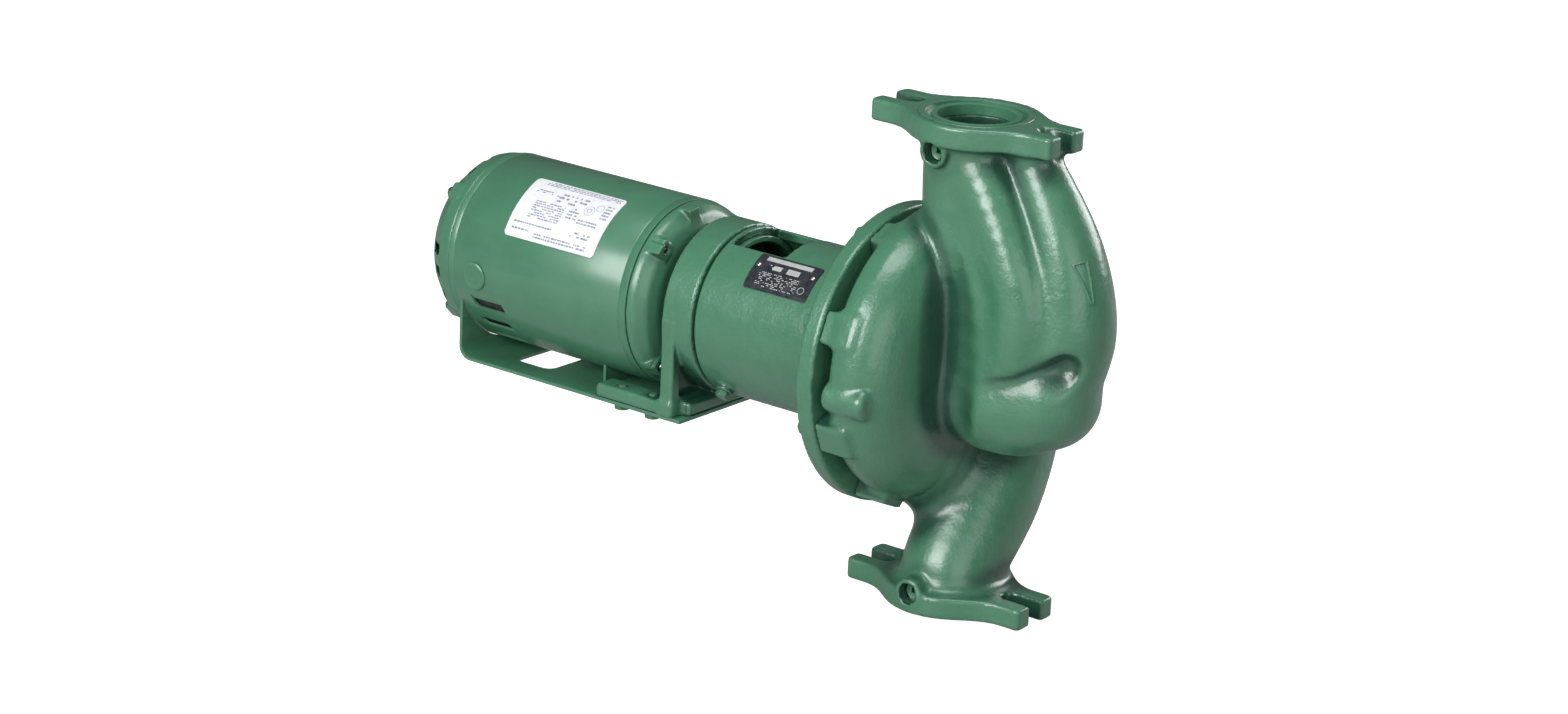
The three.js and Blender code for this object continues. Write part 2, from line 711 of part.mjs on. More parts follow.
/** The two hubs, their set screws and the rubber insert that joins them. */
function addCoupling() {
  const driveHub = couplingHub([-232, -209], MOTOR_SHAFT_RADIUS + GAP, DRIVE_SET_SCREW_X);
  const drivenHub = couplingHub([-196.8, -173], PUMP_SHAFT_RADIUS + GAP, DRIVEN_SET_SCREW_X);
  piece("drive_coupling_hub", driveHub, GREEN);
  piece("drive_hub_set_screw", setScrew(DRIVE_SET_SCREW_X, MOTOR_SHAFT_RADIUS), STEEL);
  piece("coupling_insert", ring([-208.6, -197.2], INSERT_RADIUS, 11, MEDIUM), RUBBER);
  piece("driven_coupling_hub", drivenHub, GREEN);
  piece("driven_hub_set_screw", setScrew(DRIVEN_SET_SCREW_X, PUMP_SHAFT_RADIUS), STEEL);
}

// ---- Motor bracket -----------------------------------------------------------------------------
/** Where the four screws through the base and the rails stand, as [x, y]. */
function baseScrewPlaces() {
  return BASE_SCREW_X.flatMap((x) => [-BASE_SCREW_Y, BASE_SCREW_Y].map((y) => [x, y]));
}

/** The casting that carries the motor: ring, post plate, two foot rails and a locating spigot. */
function motorBracket() {
  const [back, front] = RING_X;
  const rim = ring([back, front], RING_RADIUS, RING_BORE);
  const spigot = ring([front - 1, -217], BARREL_BORE - GAP, RING_BORE);
  const web = ring([back, WEB_FRONT_X], RING_RADIUS - 2, WEB_BORE);
  const post = cut(
    block([back, WEB_FRONT_X], [-POST_HALF_WIDTH, POST_HALF_WIDTH], [FOOT_BOTTOM_Z, 0]),
    bar("x", [back - 5, front], WEB_BORE, [0, 0], FINE),
  );
  const rails = [-1, 1].map((side) => {
    const edges = side < 0 ? [-RAIL_OUTER_Y, -RAIL_INNER_Y] : [RAIL_INNER_Y, RAIL_OUTER_Y];
    return block([FOOT_BACK_X, WEB_FRONT_X], edges, [FOOT_BOTTOM_Z, FOOT_TOP_Z]);
  });
  const toe = block([WEB_FRONT_X - 2, BASE_X[1]], [-62, 62], [FOOT_BOTTOM_Z, FOOT_TOP_Z]);
  const holes = baseScrewPlaces().map((place) =>
    bar("z", [FOOT_BOTTOM_Z - 5, FOOT_TOP_Z + 5], BASE_SCREW_HOLE, place, COARSE),
  );
  const keyholes = BRACKET_SCREW_ANGLES.map((angle) =>
    spun(bar("y", [57, 80], BRACKET_SCREW_HOLE, [BRACKET_SCREW_X, 0], COARSE), angle),
  );
  const shell = join(rim, spigot, web, post, ...rails, toe);
  return cut(shell, ...holes, ...keyholes);
}

// ---- Motor -------------------------------------------------------------------------------------
/** The rolled shell: an open tube with cooling slots along both lower sides and a hole for the leads. */
function motorShell() {
  const tube = ring(SHELL_X, SHELL_RADIUS, SHELL_BORE, FINE);
  const slots = VENT_ANGLES.flatMap((angle) =>
    [angle, -180 - angle].map((turn) => {
      const slot = block(VENT_X, [70, 90], [-VENT_HALF_WIDTH, VENT_HALF_WIDTH]);
      return spun(slot, turn);
    }),
  );
  const leadHole = spun(bar("y", [70, 90], LEAD_HOLE_RADIUS, [LEAD_HOLE_X, 0], 16), LEAD_HOLE_ANGLE);
  return cut(tube, ...slots, leadHole);
}

/** The block on an end bell that a through bolt bears on. */
const boltSeat = (span, radii) => block(span, radii, [-BOLT_SEAT_HALF_WIDTH, BOLT_SEAT_HALF_WIDTH]);

/** The front end bell: a thin dome with a hub for the shaft bush and eared bolt seats. */
function frontEndBell() {
  const [, seam] = SHELL_X;
  const face = seam + GAP;
  const dome = turned([
    [face, SHELL_RADIUS - 4.5],
    [face, SHELL_RADIUS - 0.4],
    [seam + 8, SHELL_RADIUS - 1.5],
    [seam + 16, SHELL_RADIUS - 9],
    [seam + 20, SHELL_RADIUS - 20],
    [seam + 21, 30],
    [seam + 32, 24],
    [seam + 32, BUSH_RADIUS + GAP],
    [seam + 8, BUSH_RADIUS + GAP],
    [seam + 8, 22],
    [seam + 16, 30],
    [seam + 15, SHELL_RADIUS - 24],
    [seam + 11, SHELL_RADIUS - 13],
    [seam + 4, SHELL_RADIUS - 6],
  ]);
  const seats = [];
  const holes = [];
  for (const angle of BOLT_ANGLES) {
    seats.push(spun(boltSeat([seam + 6, seam + 18], [66, 79.5]), angle));
    holes.push(spun(bar("x", [seam - 5, seam + 40], BOLT_HOLE, [THROUGH_BOLT_RADIUS, 0], COARSE), angle));
  }
  return cut(join(dome, ...seats), ...holes);
}

/** The rear end bell: a deeper dome with air slots round its shoulder and seats for the bolts. */
function rearEndBell() {
  const [seam] = SHELL_X;
  const face = seam - GAP;
  const dome = turned([
    [face, SHELL_RADIUS - 4.5],
    [seam - 5, SHELL_RADIUS - 6],
    [seam - 24, SHELL_RADIUS - 14],
    [seam - 34, 52],
    [seam - 35, 24],
    [seam - 16, 20],
    [seam - 16, BUSH_RADIUS + GAP],
    [seam - 35, BUSH_RADIUS + GAP],
    [seam - 41, BUSH_RADIUS + GAP],
    [seam - 41, 0],
    [seam - 45, 0],
    [seam - 45, 20],
    [seam - 40, 54],
    [seam - 30, SHELL_RADIUS - 14],
    [seam - 16, SHELL_RADIUS - 3],
    [face, SHELL_RADIUS - 0.4],
  ]);
  const seats = [];
  const cuts = [];
  for (const angle of BOLT_ANGLES) {
    seats.push(spun(boltSeat([seam - 22, seam - 8], [64, 80.5]), angle));
    cuts.push(spun(bar("x", [seam - 60, seam + 5], BOLT_HOLE, [THROUGH_BOLT_RADIUS, 0], COARSE), angle));
    cuts.push(spun(bar("x", [seam - 60, seam - 22], 6, [THROUGH_BOLT_RADIUS, 0], 8), angle));
    for (const offset of [-25, 0, 25]) {
      cuts.push(spun(block([seam - 28, seam - 15], [56, 90], [-5, 5]), angle + 45 + offset));
    }
  }
  return cut(join(dome, ...seats), ...cuts);
}

/** The wound stator, its two rings of coil ends and the four bolts that clamp the end bells. */
function addStator() {
  const notches = BOLT_ANGLES.map((angle) =>
    spun(block([-450, -340], [THROUGH_BOLT_RADIUS - 3.5, 90], [-3.5, 3.5]), angle),
  );
  piece("stator_core", cut(ring(STATOR_X, STATOR_RADIUS, STATOR_BORE), ...notches), LAMINATION);
  const [rear, front] = STATOR_X;
  piece("stator_coils_rear", ring([rear - 20, rear - GAP], 68, 51, 32), ENAMEL);
  piece("stator_coils_front", ring([front + GAP, front + 20], 68, 51, 32), ENAMEL);
  BOLT_ANGLES.forEach((angle, i) => {
    const bolt = screwAlongX(SHELL_X[0] - 22 - GAP, 245.6, 2.4, 8, 4, [THROUGH_BOLT_RADIUS, 0]);
    piece(`motor_through_bolt_${i + 1}`, spun(bolt, angle), STEEL);
  });
}

/** The folded base: a flat sheet with an opening, turned up at both ends to fit under the shell. */
function motorBase() {
  const [back, front] = BASE_X;
  const sheetTop = BASE_BOTTOM_Z + BASE_SHEET;
  const across = [-BASE_HALF_WIDTH, BASE_HALF_WIDTH];
  const sheet = block([back, front], across, [BASE_BOTTOM_Z, sheetTop]);
  const rearEnd = block([back, back + BASE_SHEET], across, [BASE_BOTTOM_Z, -30]);
  const openingWidth = [-BASE_OPENING_HALF_WIDTH, BASE_OPENING_HALF_WIDTH];
  const frontEnd = block(FRONT_TAB_X, openingWidth, [BASE_BOTTOM_Z, -50]);
  const opening = block(BASE_OPENING_X, openingWidth, [BASE_BOTTOM_Z - 5, sheetTop + 5]);
  const shellSeat = bar("x", [back - 5, -300], SHELL_RADIUS + GAP, [0, 0], FINE);
  const holes = baseScrewPlaces().map((place) =>
    bar("z", [BASE_BOTTOM_Z - 5, sheetTop + 5], BASE_SCREW_HOLE, place, COARSE),
  );
  return cut(join(sheet, rearEnd, frontEnd), opening, shellSeat, ...holes);
}

/** A screw that comes up through the base into the bracket's rail. */
function baseScrew(place) {
  const head = bar("z", [BASE_BOTTOM_Z - 5.4, BASE_BOTTOM_Z - GAP], 7.2, place, 6);
  return join(head, bar("z", [BASE_BOTTOM_Z - 2, FOOT_TOP_Z + 1.5], BASE_SCREW_HOLE - 0.4, place, COARSE));
}

/** The snap-in cover of the lead hole: a short plug under a shallow head. */
function leadHoleCover() {
  const plug = bar("y", [76, SHELL_RADIUS + 0.4], LEAD_HOLE_RADIUS - 0.4, [LEAD_HOLE_X, 0], 16);
  const headSpan = [SHELL_RADIUS + 0.35, SHELL_RADIUS + 1.6];
  const head = bar("y", headSpan, LEAD_HOLE_RADIUS + 2.1, [LEAD_HOLE_X, 0], 20);
  return spun(join(plug, head), LEAD_HOLE_ANGLE);
}

/** Everything fixed in the motor. */
function addMotorHousing() {
  piece("motor_shell", motorShell(), GREEN);
  piece("front_end_bell", frontEndBell(), GREEN);
  piece("rear_end_bell", rearEndBell(), GREEN);
  addStator();
  piece("motor_bearing_front", ring([-286, -264], BUSH_RADIUS, MOTOR_SHAFT_RADIUS + GAP, MEDIUM), BRONZE);
  piece("motor_bearing_rear", ring([-538, -516], BUSH_RADIUS, MOTOR_SHAFT_RADIUS + GAP, MEDIUM), BRONZE);
  piece("lead_hole_cover", leadHoleCover(), GREEN);
  const labelInner = SHELL_RADIUS + GAP;
  piece("motor_label", wrapped(LABEL_X, [labelInner, labelInner + 0.5], LABEL_ANGLES), PAPER);
  piece("motor_base", motorBase(), GREEN);
  baseScrewPlaces().forEach((place, i) => piece(`base_screw_${i + 1}`, baseScrew(place), ZINC));
}

/** Everything that turns in the motor. */
function addMotorRotor() {
  const shaft = turned(
    [
      [-534, 0],
      [-534, MOTOR_SHAFT_RADIUS],
      [-207, MOTOR_SHAFT_RADIUS],
      [-206, MOTOR_SHAFT_RADIUS - 1],
      [-206, 0],
    ],
    MEDIUM,
  );
  piece("motor_shaft", shaft, STEEL);
  const [rear, front] = STATOR_X;
  const bore = MOTOR_SHAFT_RADIUS + GAP;
  const core = turned(
    [
      [rear, bore],
      [rear, 34],
      [rear - 8, 34],
      [rear - 8, 44],
      [rear, ROTOR_RADIUS],
      [front, ROTOR_RADIUS],
      [front + 8, 44],
      [front + 8, 34],
      [front, 34],
      [front, bore],
    ],
    MEDIUM,
  );
  piece("rotor_core", core, LAMINATION);
  const hub = ring([-492, -474], 16, MOTOR_SHAFT_RADIUS + GAP, MEDIUM);
  const plate = ring([-476.5, -474], 60, 15, 32);
  const blades = [];
  for (let i = 0; i < 8; i += 1) {
    blades.push(spun(block([-490, -475], [15, 60], [-1.2, 1.2]), i * 45));
  }
  piece("cooling_fan", join(hub, plate, ...blades), PLASTIC);
}

addCasing();
addBearingBracket();
addPumpRotor();
addCoupling();
piece("motor_bracket", motorBracket(), GREEN);
addMotorHousing();
addMotorRotor();

export default group;
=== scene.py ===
"""An in-line centrifugal water pump and its electric motor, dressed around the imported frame.

Shapes are worked out in millimetres in the frame's own axes and put into meshes in metres: +X runs along the
shaft from the motor to the pump, +Z is up the pipe line, and the origin is where the two axes cross.
Castings are distance fields meshed by a surface net, turned pieces are profiles carried round the shaft, and
sheet pieces are grids of two parameters. Angles round the shaft are in degrees from +Y towards +Z.
"""

import logging
import math
from collections.abc import Callable, Iterable, Sequence
from dataclasses import dataclass, field
from enum import Enum

import bmesh
import bpy
import numpy as np
from mathutils import Matrix, Vector

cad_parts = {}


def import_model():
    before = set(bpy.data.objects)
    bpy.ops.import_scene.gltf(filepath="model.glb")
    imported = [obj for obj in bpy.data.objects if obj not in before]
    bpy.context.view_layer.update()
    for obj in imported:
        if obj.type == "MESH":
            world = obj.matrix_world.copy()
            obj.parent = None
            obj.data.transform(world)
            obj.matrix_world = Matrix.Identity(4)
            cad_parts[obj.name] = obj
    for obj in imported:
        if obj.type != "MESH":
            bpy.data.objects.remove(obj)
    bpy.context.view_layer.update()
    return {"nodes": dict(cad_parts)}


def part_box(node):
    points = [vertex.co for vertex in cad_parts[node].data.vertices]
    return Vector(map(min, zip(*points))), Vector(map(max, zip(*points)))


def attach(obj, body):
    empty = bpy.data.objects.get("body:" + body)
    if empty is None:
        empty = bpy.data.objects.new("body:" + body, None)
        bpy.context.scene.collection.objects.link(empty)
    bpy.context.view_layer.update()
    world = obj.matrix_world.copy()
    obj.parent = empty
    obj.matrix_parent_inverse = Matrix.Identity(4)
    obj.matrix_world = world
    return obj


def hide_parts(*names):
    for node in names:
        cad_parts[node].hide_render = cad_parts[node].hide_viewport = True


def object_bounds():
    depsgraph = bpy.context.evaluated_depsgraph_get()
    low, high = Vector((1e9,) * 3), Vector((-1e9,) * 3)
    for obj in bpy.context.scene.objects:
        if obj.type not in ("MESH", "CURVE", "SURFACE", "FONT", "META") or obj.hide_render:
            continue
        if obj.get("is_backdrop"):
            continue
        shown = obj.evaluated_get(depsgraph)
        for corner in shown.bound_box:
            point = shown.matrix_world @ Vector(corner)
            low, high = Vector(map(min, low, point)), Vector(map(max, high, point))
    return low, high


LOG = logging.getLogger("pump")
MM = 0.001
# Reach in millimetres of the look-ahead that measures crease depth for painted shade.
PAINTED_SHADE_REACH = 28.0
ROD_FILLET = 3.0
WELD_DISTANCE = 2e-6
SLIVER_LENGTH = 1e-7
BEVEL_SEGMENTS = 2
BEVEL_ANGLE = 40.0

Array = np.ndarray
Field = Callable[[Array], Array]


# ---- Profiles and outlines ----------------------------------------------------------------------------
def eased(points: Sequence[Sequence[float]], reach: float, steps: int = 4) -> Array:
    """Rounds the corners of a closed outline.

    Each corner C becomes the parabola (1-s)^2 A + 2 s (1-s) C + s^2 B between the points A and B that lie
    at most ``reach`` along its two sides.

    Args:
        points: The outline's corners, two numbers each.
        reach: How far along each side the rounding may start.
        steps: Number of spans in each rounded corner.

    Returns:
        The rounded outline, one row per point.
    """
    corner = np.asarray(points, float)
    ends = []
    for other in (np.roll(corner, 1, axis=0), np.roll(corner, -1, axis=0)):
        side = other - corner
        length = np.linalg.norm(side, axis=1, keepdims=True)
        ends.append(corner + side / np.maximum(length, 1e-9) * np.minimum(reach, 0.45 * length))
    s = np.linspace(0.0, 1.0, steps + 1)[None, :, None]
    bent = (1 - s) ** 2 * ends[0][:, None] + 2 * s * (1 - s) * corner[:, None] + s**2 * ends[1][:, None]
    return bent.reshape(-1, 2)


def turned_grid(profile: Array, sides: int, growth: Callable[[Array, Array], Array] | None = None) -> Array:
    """Carries a closed profile round the shaft axis.

    The point at profile place i and turn j is (x_i, R cos t_j, R sin t_j), with R = r_i + growth(t_j, r_i).

    Args:
        profile: Closed outline of (x, radius) rows.
        sides: Number of steps round the axis.
        growth: Extra radius for a turn in degrees and a radius.

    Returns:
        A grid of points, profile by turn.
    """
    turn = np.linspace(0.0, 2 * np.pi, sides, endpoint=False)[None, :]
    x = np.repeat(profile[:, :1], sides, axis=1)
    radius = np.repeat(profile[:, 1:2], sides, axis=1)
    if growth is not None:
        radius = radius + growth(np.degrees(np.repeat(turn, len(profile), axis=0)), radius)
    return np.stack([x, radius * np.cos(turn), radius * np.sin(turn)], axis=-1)


def spun(points: Array, degrees: float) -> Array:
    """Points turned about the shaft axis.

    Args:
        points: Points, x, y and z last.
        degrees: The turn, from +Y towards +Z.

    Returns:
        The turned points.
    """
    turn = math.radians(degrees)
    c, s = math.cos(turn), math.sin(turn)
    x, y, z = points[..., 0], points[..., 1], points[..., 2]
    return np.stack([x, c * y - s * z, s * y + c * z], axis=-1)


# ---- Distance fields ----------------------------------------------------------------------------------
def merged(a: Array, b: Array, fillet: float) -> Array:
    """Union of two fields with a fillet: the smaller of the two, less k h (1 - h) where they are close."""
    h = np.clip(0.5 + 0.5 * (b - a) / fillet, 0.0, 1.0)
    return b * (1 - h) + a * h - fillet * h * (1 - h)


def carved(a: Array, b: Array, fillet: float) -> Array:
    """Field a with field b cut out of it, its new edge rounded over ``fillet``."""
    return -merged(-a, b, fillet)


def rod(p: Array, start: Sequence[float], end: Sequence[float]) -> Array:
    """Distance to a straight rod with round ends and a radius that runs evenly from one end to the other.

    Args:
        p: Points, one row each.
        start: First end, as x, y, z and radius.
        end: Second end, as x, y, z and radius.

    Returns:
        One distance per point: length to the nearest axis point, less the radius there.
    """
    a, b = np.asarray(start[:3], float), np.asarray(end[:3], float)
    along = b - a
    share = np.clip((p - a) @ along / max(along @ along, 1e-9), 0.0, 1.0)
    nearest = a + share[:, None] * along
    return np.linalg.norm(p - nearest, axis=-1) - (start[3] + (end[3] - start[3]) * share)


def smooth_way(stations: Sequence[Sequence[float]], steps: int = 3) -> Array:
    """Stations along a smooth way through the given ones.

    Between stations B and C the way is the cubic with the slopes (C - A) / 2 and (D - B) / 2, where A and D
    are their neighbours.

    Args:
        stations: Rows of x, y, z and radius.
        steps: Spans between two of the given stations.

    Returns:
        The finer rows.
    """
    rows = np.asarray(stations, float)
    a = np.concatenate([2 * rows[:1] - rows[1:2], rows, 2 * rows[-1:] - rows[-2:-1]])
    slope = (a[2:] - a[:-2]) / 2
    s = np.linspace(0.0, 1.0, steps, endpoint=False)[None, :, None]
    start, end, out, back = rows[:-1, None], rows[1:, None], slope[:-1, None], slope[1:, None]
    way = (
        (2 * s**3 - 3 * s**2 + 1) * start
        + (s**3 - 2 * s**2 + s) * out
        + (3 * s**2 - 2 * s**3) * end
        + (s**3 - s**2) * back
    )
    return np.concatenate([way.reshape(-1, rows.shape[1]), rows[-1:]])


def run_of(p: Array, stations: Array) -> Array:
    """Distance to a bent pipe: the filleted union of the rods between neighbouring stations.

    Args:
        p: Points, one row each.
        stations: Rows of x, y, z and radius along the pipe.

    Returns:
        One distance per point.
    """
    total = rod(p, stations[0], stations[1])
    for start, end in zip(stations[1:-1], stations[2:]):
        total = merged(total, rod(p, start, end), ROD_FILLET)
    return total


def slab(p: Array, low: Sequence[float], high: Sequence[float], rounding: float = 2.0) -> Array:
    """Distance to a block between two corners, with its edges rounded.

    Args:
        p: Points, one row each.
        low: Lowest corner.
        high: Highest corner.
        rounding: Radius of the edges.

    Returns:
        One distance per point.
    """
    lo, hi = np.asarray(low, float), np.asarray(high, float)
    q = np.abs(p - (lo + hi) / 2) - ((hi - lo) / 2 - rounding)
    outside = np.linalg.norm(np.maximum(q, 0.0), axis=-1)
    return outside + np.minimum(q.max(axis=-1), 0.0) - rounding


def raised(flat: Array, across: Array, half: float, rounding: float = 2.0) -> Array:
    """Distance to a flat shape raised to both sides of a plane.

    Args:
        flat: Distance to the flat shape, in its plane.
        across: Distance from the plane.
        half: Half of the height.
        rounding: Radius of the edges.

    Returns:
        One distance per point.
    """
    q = np.stack([flat + rounding, np.abs(across) - (half - rounding)], axis=-1)
    outside = np.linalg.norm(np.maximum(q, 0.0), axis=-1)
    return outside + np.minimum(q.max(axis=-1), 0.0) - rounding


def drum(
    p: Array,
    axis: int,
    span: Sequence[float],
    radius: float,
    centre: Sequence[float] = (0.0, 0.0),
    rounding: float = 2.0,
) -> Array:
    """Distance to a round bar along one axis.

    Args:
        p: Points, one row each.
        axis: 0, 1 or 2 for a bar along X, Y or Z.
        span: Its two ends on that axis.
        radius: Its radius.
        centre: Its place on the other two axes, in their order.
        rounding: Radius of its end edges.

    Returns:
        One distance per point.
    """
    others = [i for i in range(3) if i != axis]
    flat = np.hypot(p[:, others[0]] - centre[0], p[:, others[1]] - centre[1]) - radius
    return raised(flat, p[:, axis] - (span[0] + span[1]) / 2, (span[1] - span[0]) / 2, rounding)


def outline(q: Array, corners: Array) -> Array:
    """Signed distance to a closed flat outline: the nearest side's distance, negative within.

    Args:
        q: Flat points, two numbers each.
        corners: The outline's corners in order.

    Returns:
        One distance per point.
    """
    nearest = np.full(len(q), np.inf)
    within = np.zeros(len(q), bool)
    for a, b in zip(corners, np.roll(corners, -1, axis=0)):
        side = b - a
        offset = q - a
        share = np.clip(offset @ side / max(side @ side, 1e-12), 0.0, 1.0)
        nearest = np.minimum(nearest, ((offset - share[:, None] * side) ** 2).sum(axis=-1))
        straddles = (a[1] > q[:, 1]) != (b[1] > q[:, 1])
        rise = side[1] if abs(side[1]) > 1e-12 else 1e-12
        within ^= straddles & (q[:, 0] < a[0] + side[0] * (q[:, 1] - a[1]) / rise)
    return np.where(within, -1.0, 1.0) * np.sqrt(nearest)


def around(p: Array) -> Array:
    """Points as (x, distance from the shaft axis) rows."""
    return np.stack([p[:, 0], np.hypot(p[:, 1], p[:, 2])], axis=-1)


def repeated(p: Array, first: float, count: int) -> Array:
    """Folds points round the shaft so that one feature on +Y is repeated ``count`` times from ``first``.

    Args:
        p: Points, one row each.
        first: Angle of the first feature.
        count: Number of features.

    Returns:
        The folded points.
    """
    step = 360.0 / count
    turn = np.degrees(np.arctan2(p[:, 2], p[:, 1])) - first
    folded = np.radians(np.mod(turn + step / 2, step) - step / 2)
    radius = np.hypot(p[:, 1], p[:, 2])
    return np.stack([p[:, 0], radius * np.cos(folded), radius * np.sin(folded)], axis=-1)


# ---- Surface nets -------------------------------------------------------------------------------------
@dataclass(frozen=True)
class SurfaceNet:
    """Meshes the zero surface of a distance field with one vertex in each grid cell that it crosses."""

    distance: Field
    low: tuple[float, float, float]
    high: tuple[float, float, float]
    pitch: float
    block: int = 6
    near_blocks: float = 1.5
    passes: int = 3
    evening: float = 0.5
    slope_step: float = 0.25

    def sampled(self) -> Array:
        """The field on the grid, worked out in full only in the blocks that the surface may cross.

        Returns:
            The field's values, one for each grid point.
        """
        low = np.array(self.low)
        counts = np.ceil((np.array(self.high) - low) / self.pitch).astype(int) + 1
        blocks = -(-counts // self.block)
        middles = [
            low[i] + self.pitch * (self.block * np.arange(blocks[i]) + self.block / 2) for i in range(3)
        ]
        coarse_points = np.stack(np.meshgrid(*middles, indexing="ij"), axis=-1).reshape(-1, 3)
        coarse = self.distance(coarse_points).reshape(blocks)
        full = coarse
        for axis in range(3):
            full = np.repeat(full, self.block, axis=axis)
        values = full[: counts[0], : counts[1], : counts[2]].copy()
        near = np.abs(values) < self.block * self.pitch * self.near_blocks
        places = np.argwhere(near)
        values[near] = self.distance(low + self.pitch * places)
        return values

    def mesh_data(self) -> tuple[Array, Array, Array]:
        """Vertices on the surface, quads between them and the surface's own normals.

        Returns:
            The vertices, the faces and the normals.
        """
        values = self.sampled()
        cells = np.array(values.shape) - 1
        total = np.zeros((int(np.prod(cells)), 3))
        count = np.zeros(int(np.prod(cells)))
        strides = np.array([cells[1] * cells[2], cells[2], 1])
        quads = []
        for axis in range(3):
            u, v = (axis + 1) % 3, (axis + 2) % 3
            a = np.moveaxis(np.moveaxis(values, axis, 0)[:-1], 0, axis)
            b = np.moveaxis(np.moveaxis(values, axis, 0)[1:], 0, axis)
            edges = np.argwhere((a < 0) != (b < 0))
            start, end = a[tuple(edges.T)], b[tuple(edges.T)]
            crossing = edges.astype(float)
            crossing[:, axis] += start / (start - end)
            ring = []
            for du, dv in ((1, 1), (0, 1), (0, 0), (1, 0)):
                cell = edges.copy()
                cell[:, u] -= du
                cell[:, v] -= dv
                ring.append(cell @ strides)
            for flat in ring:
                count += np.bincount(flat, minlength=len(count))
                for i in range(3):
                    total[:, i] += np.bincount(flat, weights=crossing[:, i], minlength=len(count))
            face = np.stack(ring, axis=-1)
            quads.append(np.where((start < 0)[:, None], face, face[:, ::-1]))
        used = count > 0
        number = np.cumsum(used) - 1
        vertices = np.array(self.low) + self.pitch * total[used] / count[used][:, None]
        faces = number[np.concatenate(quads)]
        return self.settled(vertices, faces)

    def slope(self, points: Array) -> Array:
        """Unit gradient of the field by central differences.

        Args:
            points: Points, one row each.

        Returns:
            One unit vector per point.
        """
        columns = []
        for axis in range(3):
            shift = np.zeros(3)
            shift[axis] = self.slope_step
            columns.append(self.distance(points + shift) - self.distance(points - shift))
        gradient = np.stack(columns, axis=-1)
        return gradient / np.maximum(np.linalg.norm(gradient, axis=-1, keepdims=True), 1e-9)

    def settled(self, vertices: Array, faces: Array) -> tuple[Array, Array, Array]:
        """Evens the net out along the surface and draws its vertices onto it.

        Args:
            vertices: First places of the vertices.
            faces: Quads as vertex numbers.

        Returns:
            The vertices, the faces and the normals.
        """
        ends = np.concatenate([faces, np.roll(faces, 1, axis=1)], axis=0).reshape(-1)
        others = np.concatenate([np.roll(faces, -1, axis=1), faces], axis=0).reshape(-1)
        degree = np.bincount(ends, minlength=len(vertices))[:, None]
        for turn in range(self.passes):
            normal = self.slope(vertices)
            if turn < self.passes - 1:
                far = vertices[others].T
                sums = [np.bincount(ends, weights=row, minlength=len(vertices)) for row in far]
                pull = self.evening * (np.stack(sums, axis=-1) / degree - vertices)
                vertices = vertices + pull - (pull * normal).sum(axis=-1, keepdims=True) * normal
            gap = np.clip(self.distance(vertices), -self.pitch, self.pitch)
            vertices = vertices - gap[:, None] * normal
        return vertices, faces, self.slope(vertices)


# ---- Meshes -------------------------------------------------------------------------------------------
def mesh_object(name: str, vertices: Array, faces: Array | Sequence[Sequence[int]]) -> bpy.types.Object:
    """A smooth-shaded mesh object from points in millimetres.

    Args:
        name: The piece's name.
        vertices: Points, one row each.
        faces: Faces as vertex numbers.

    Returns:
        The linked object, at the origin.
    """
    mesh = bpy.data.meshes.new(name)
    rows = faces.tolist() if isinstance(faces, np.ndarray) else faces
    mesh.from_pydata((np.asarray(vertices, float) * MM).tolist(), [], rows)
    mesh.polygons.foreach_set("use_smooth", np.ones(len(mesh.polygons), bool))
    mesh.update()
    made = bpy.data.objects.new(name, mesh)
    bpy.context.scene.collection.objects.link(made)
    return made


def grid_faces(rows: int, columns: int, close_rows: bool, close_columns: bool) -> Array:
    """Quads of a grid of points, wrapped in either direction where asked.

    Args:
        rows: Rows of points.
        columns: Points in a row.
        close_rows: Whether the last row meets the first.
        close_columns: Whether each row meets itself.

    Returns:
        Quads as point numbers.
    """
    i = np.arange(rows if close_rows else rows - 1)[:, None]
    j = np.arange(columns if close_columns else columns - 1)[None, :]
    i1, j1 = (i + 1) % rows, (j + 1) % columns
    quads = np.stack([i * columns + j, i1 * columns + j, i1 * columns + j1, i * columns + j1], axis=-1)
    return quads.reshape(-1, 4)


def tidied(made: bpy.types.Object, sharp: float = 35.0) -> bpy.types.Object:
    """Merges doubled points, turns faces outwards and marks edges sharper than an angle.

    Args:
        made: A closed mesh object.
        sharp: Angle in degrees past which an edge is shaded sharp.

    Returns:
        The same object.
    """
    mesh = made.data
    work = bmesh.new()
    work.from_mesh(mesh)
    bmesh.ops.remove_doubles(work, verts=work.verts, dist=WELD_DISTANCE)
    bmesh.ops.dissolve_degenerate(work, edges=work.edges, dist=SLIVER_LENGTH)
    bmesh.ops.recalc_face_normals(work, faces=work.faces)
    work.to_mesh(mesh)
    work.free()
    mesh.polygons.foreach_set("use_smooth", np.ones(len(mesh.polygons), bool))
    mesh.set_sharp_from_angle(angle=math.radians(sharp))
    mesh.update()
    return made


def net_object(name: str, net: SurfaceNet) -> bpy.types.Object:
    """The object of a surface net, shaded with the field's own normals.

    Each point stores how deep it sits in a crease, which the enamel turns into painted shade: one less
    the field's value a fixed reach in front of it, divided by that reach. An open face gives 0 and the
    bottom of a narrow groove gives 1.

    Args:
        name: The piece's name.
        net: The net to mesh.

    Returns:
        The object.
    """
    vertices, faces, normals = net.mesh_data()
    made = mesh_object(name, vertices, faces)
    made.data.normals_split_custom_set_from_vertices(normals.tolist())
    # How deep the point sits in a crease, kept for the paint's painted shade.
    crevice_shade = 1.0 - net.distance(vertices + PAINTED_SHADE_REACH * normals) / PAINTED_SHADE_REACH
    stored = made.data.attributes.new("crevice_shade", "FLOAT", "POINT")
    stored.data.foreach_set("value", np.clip(crevice_shade, 0.0, 1.0).astype(np.float32))
    return made


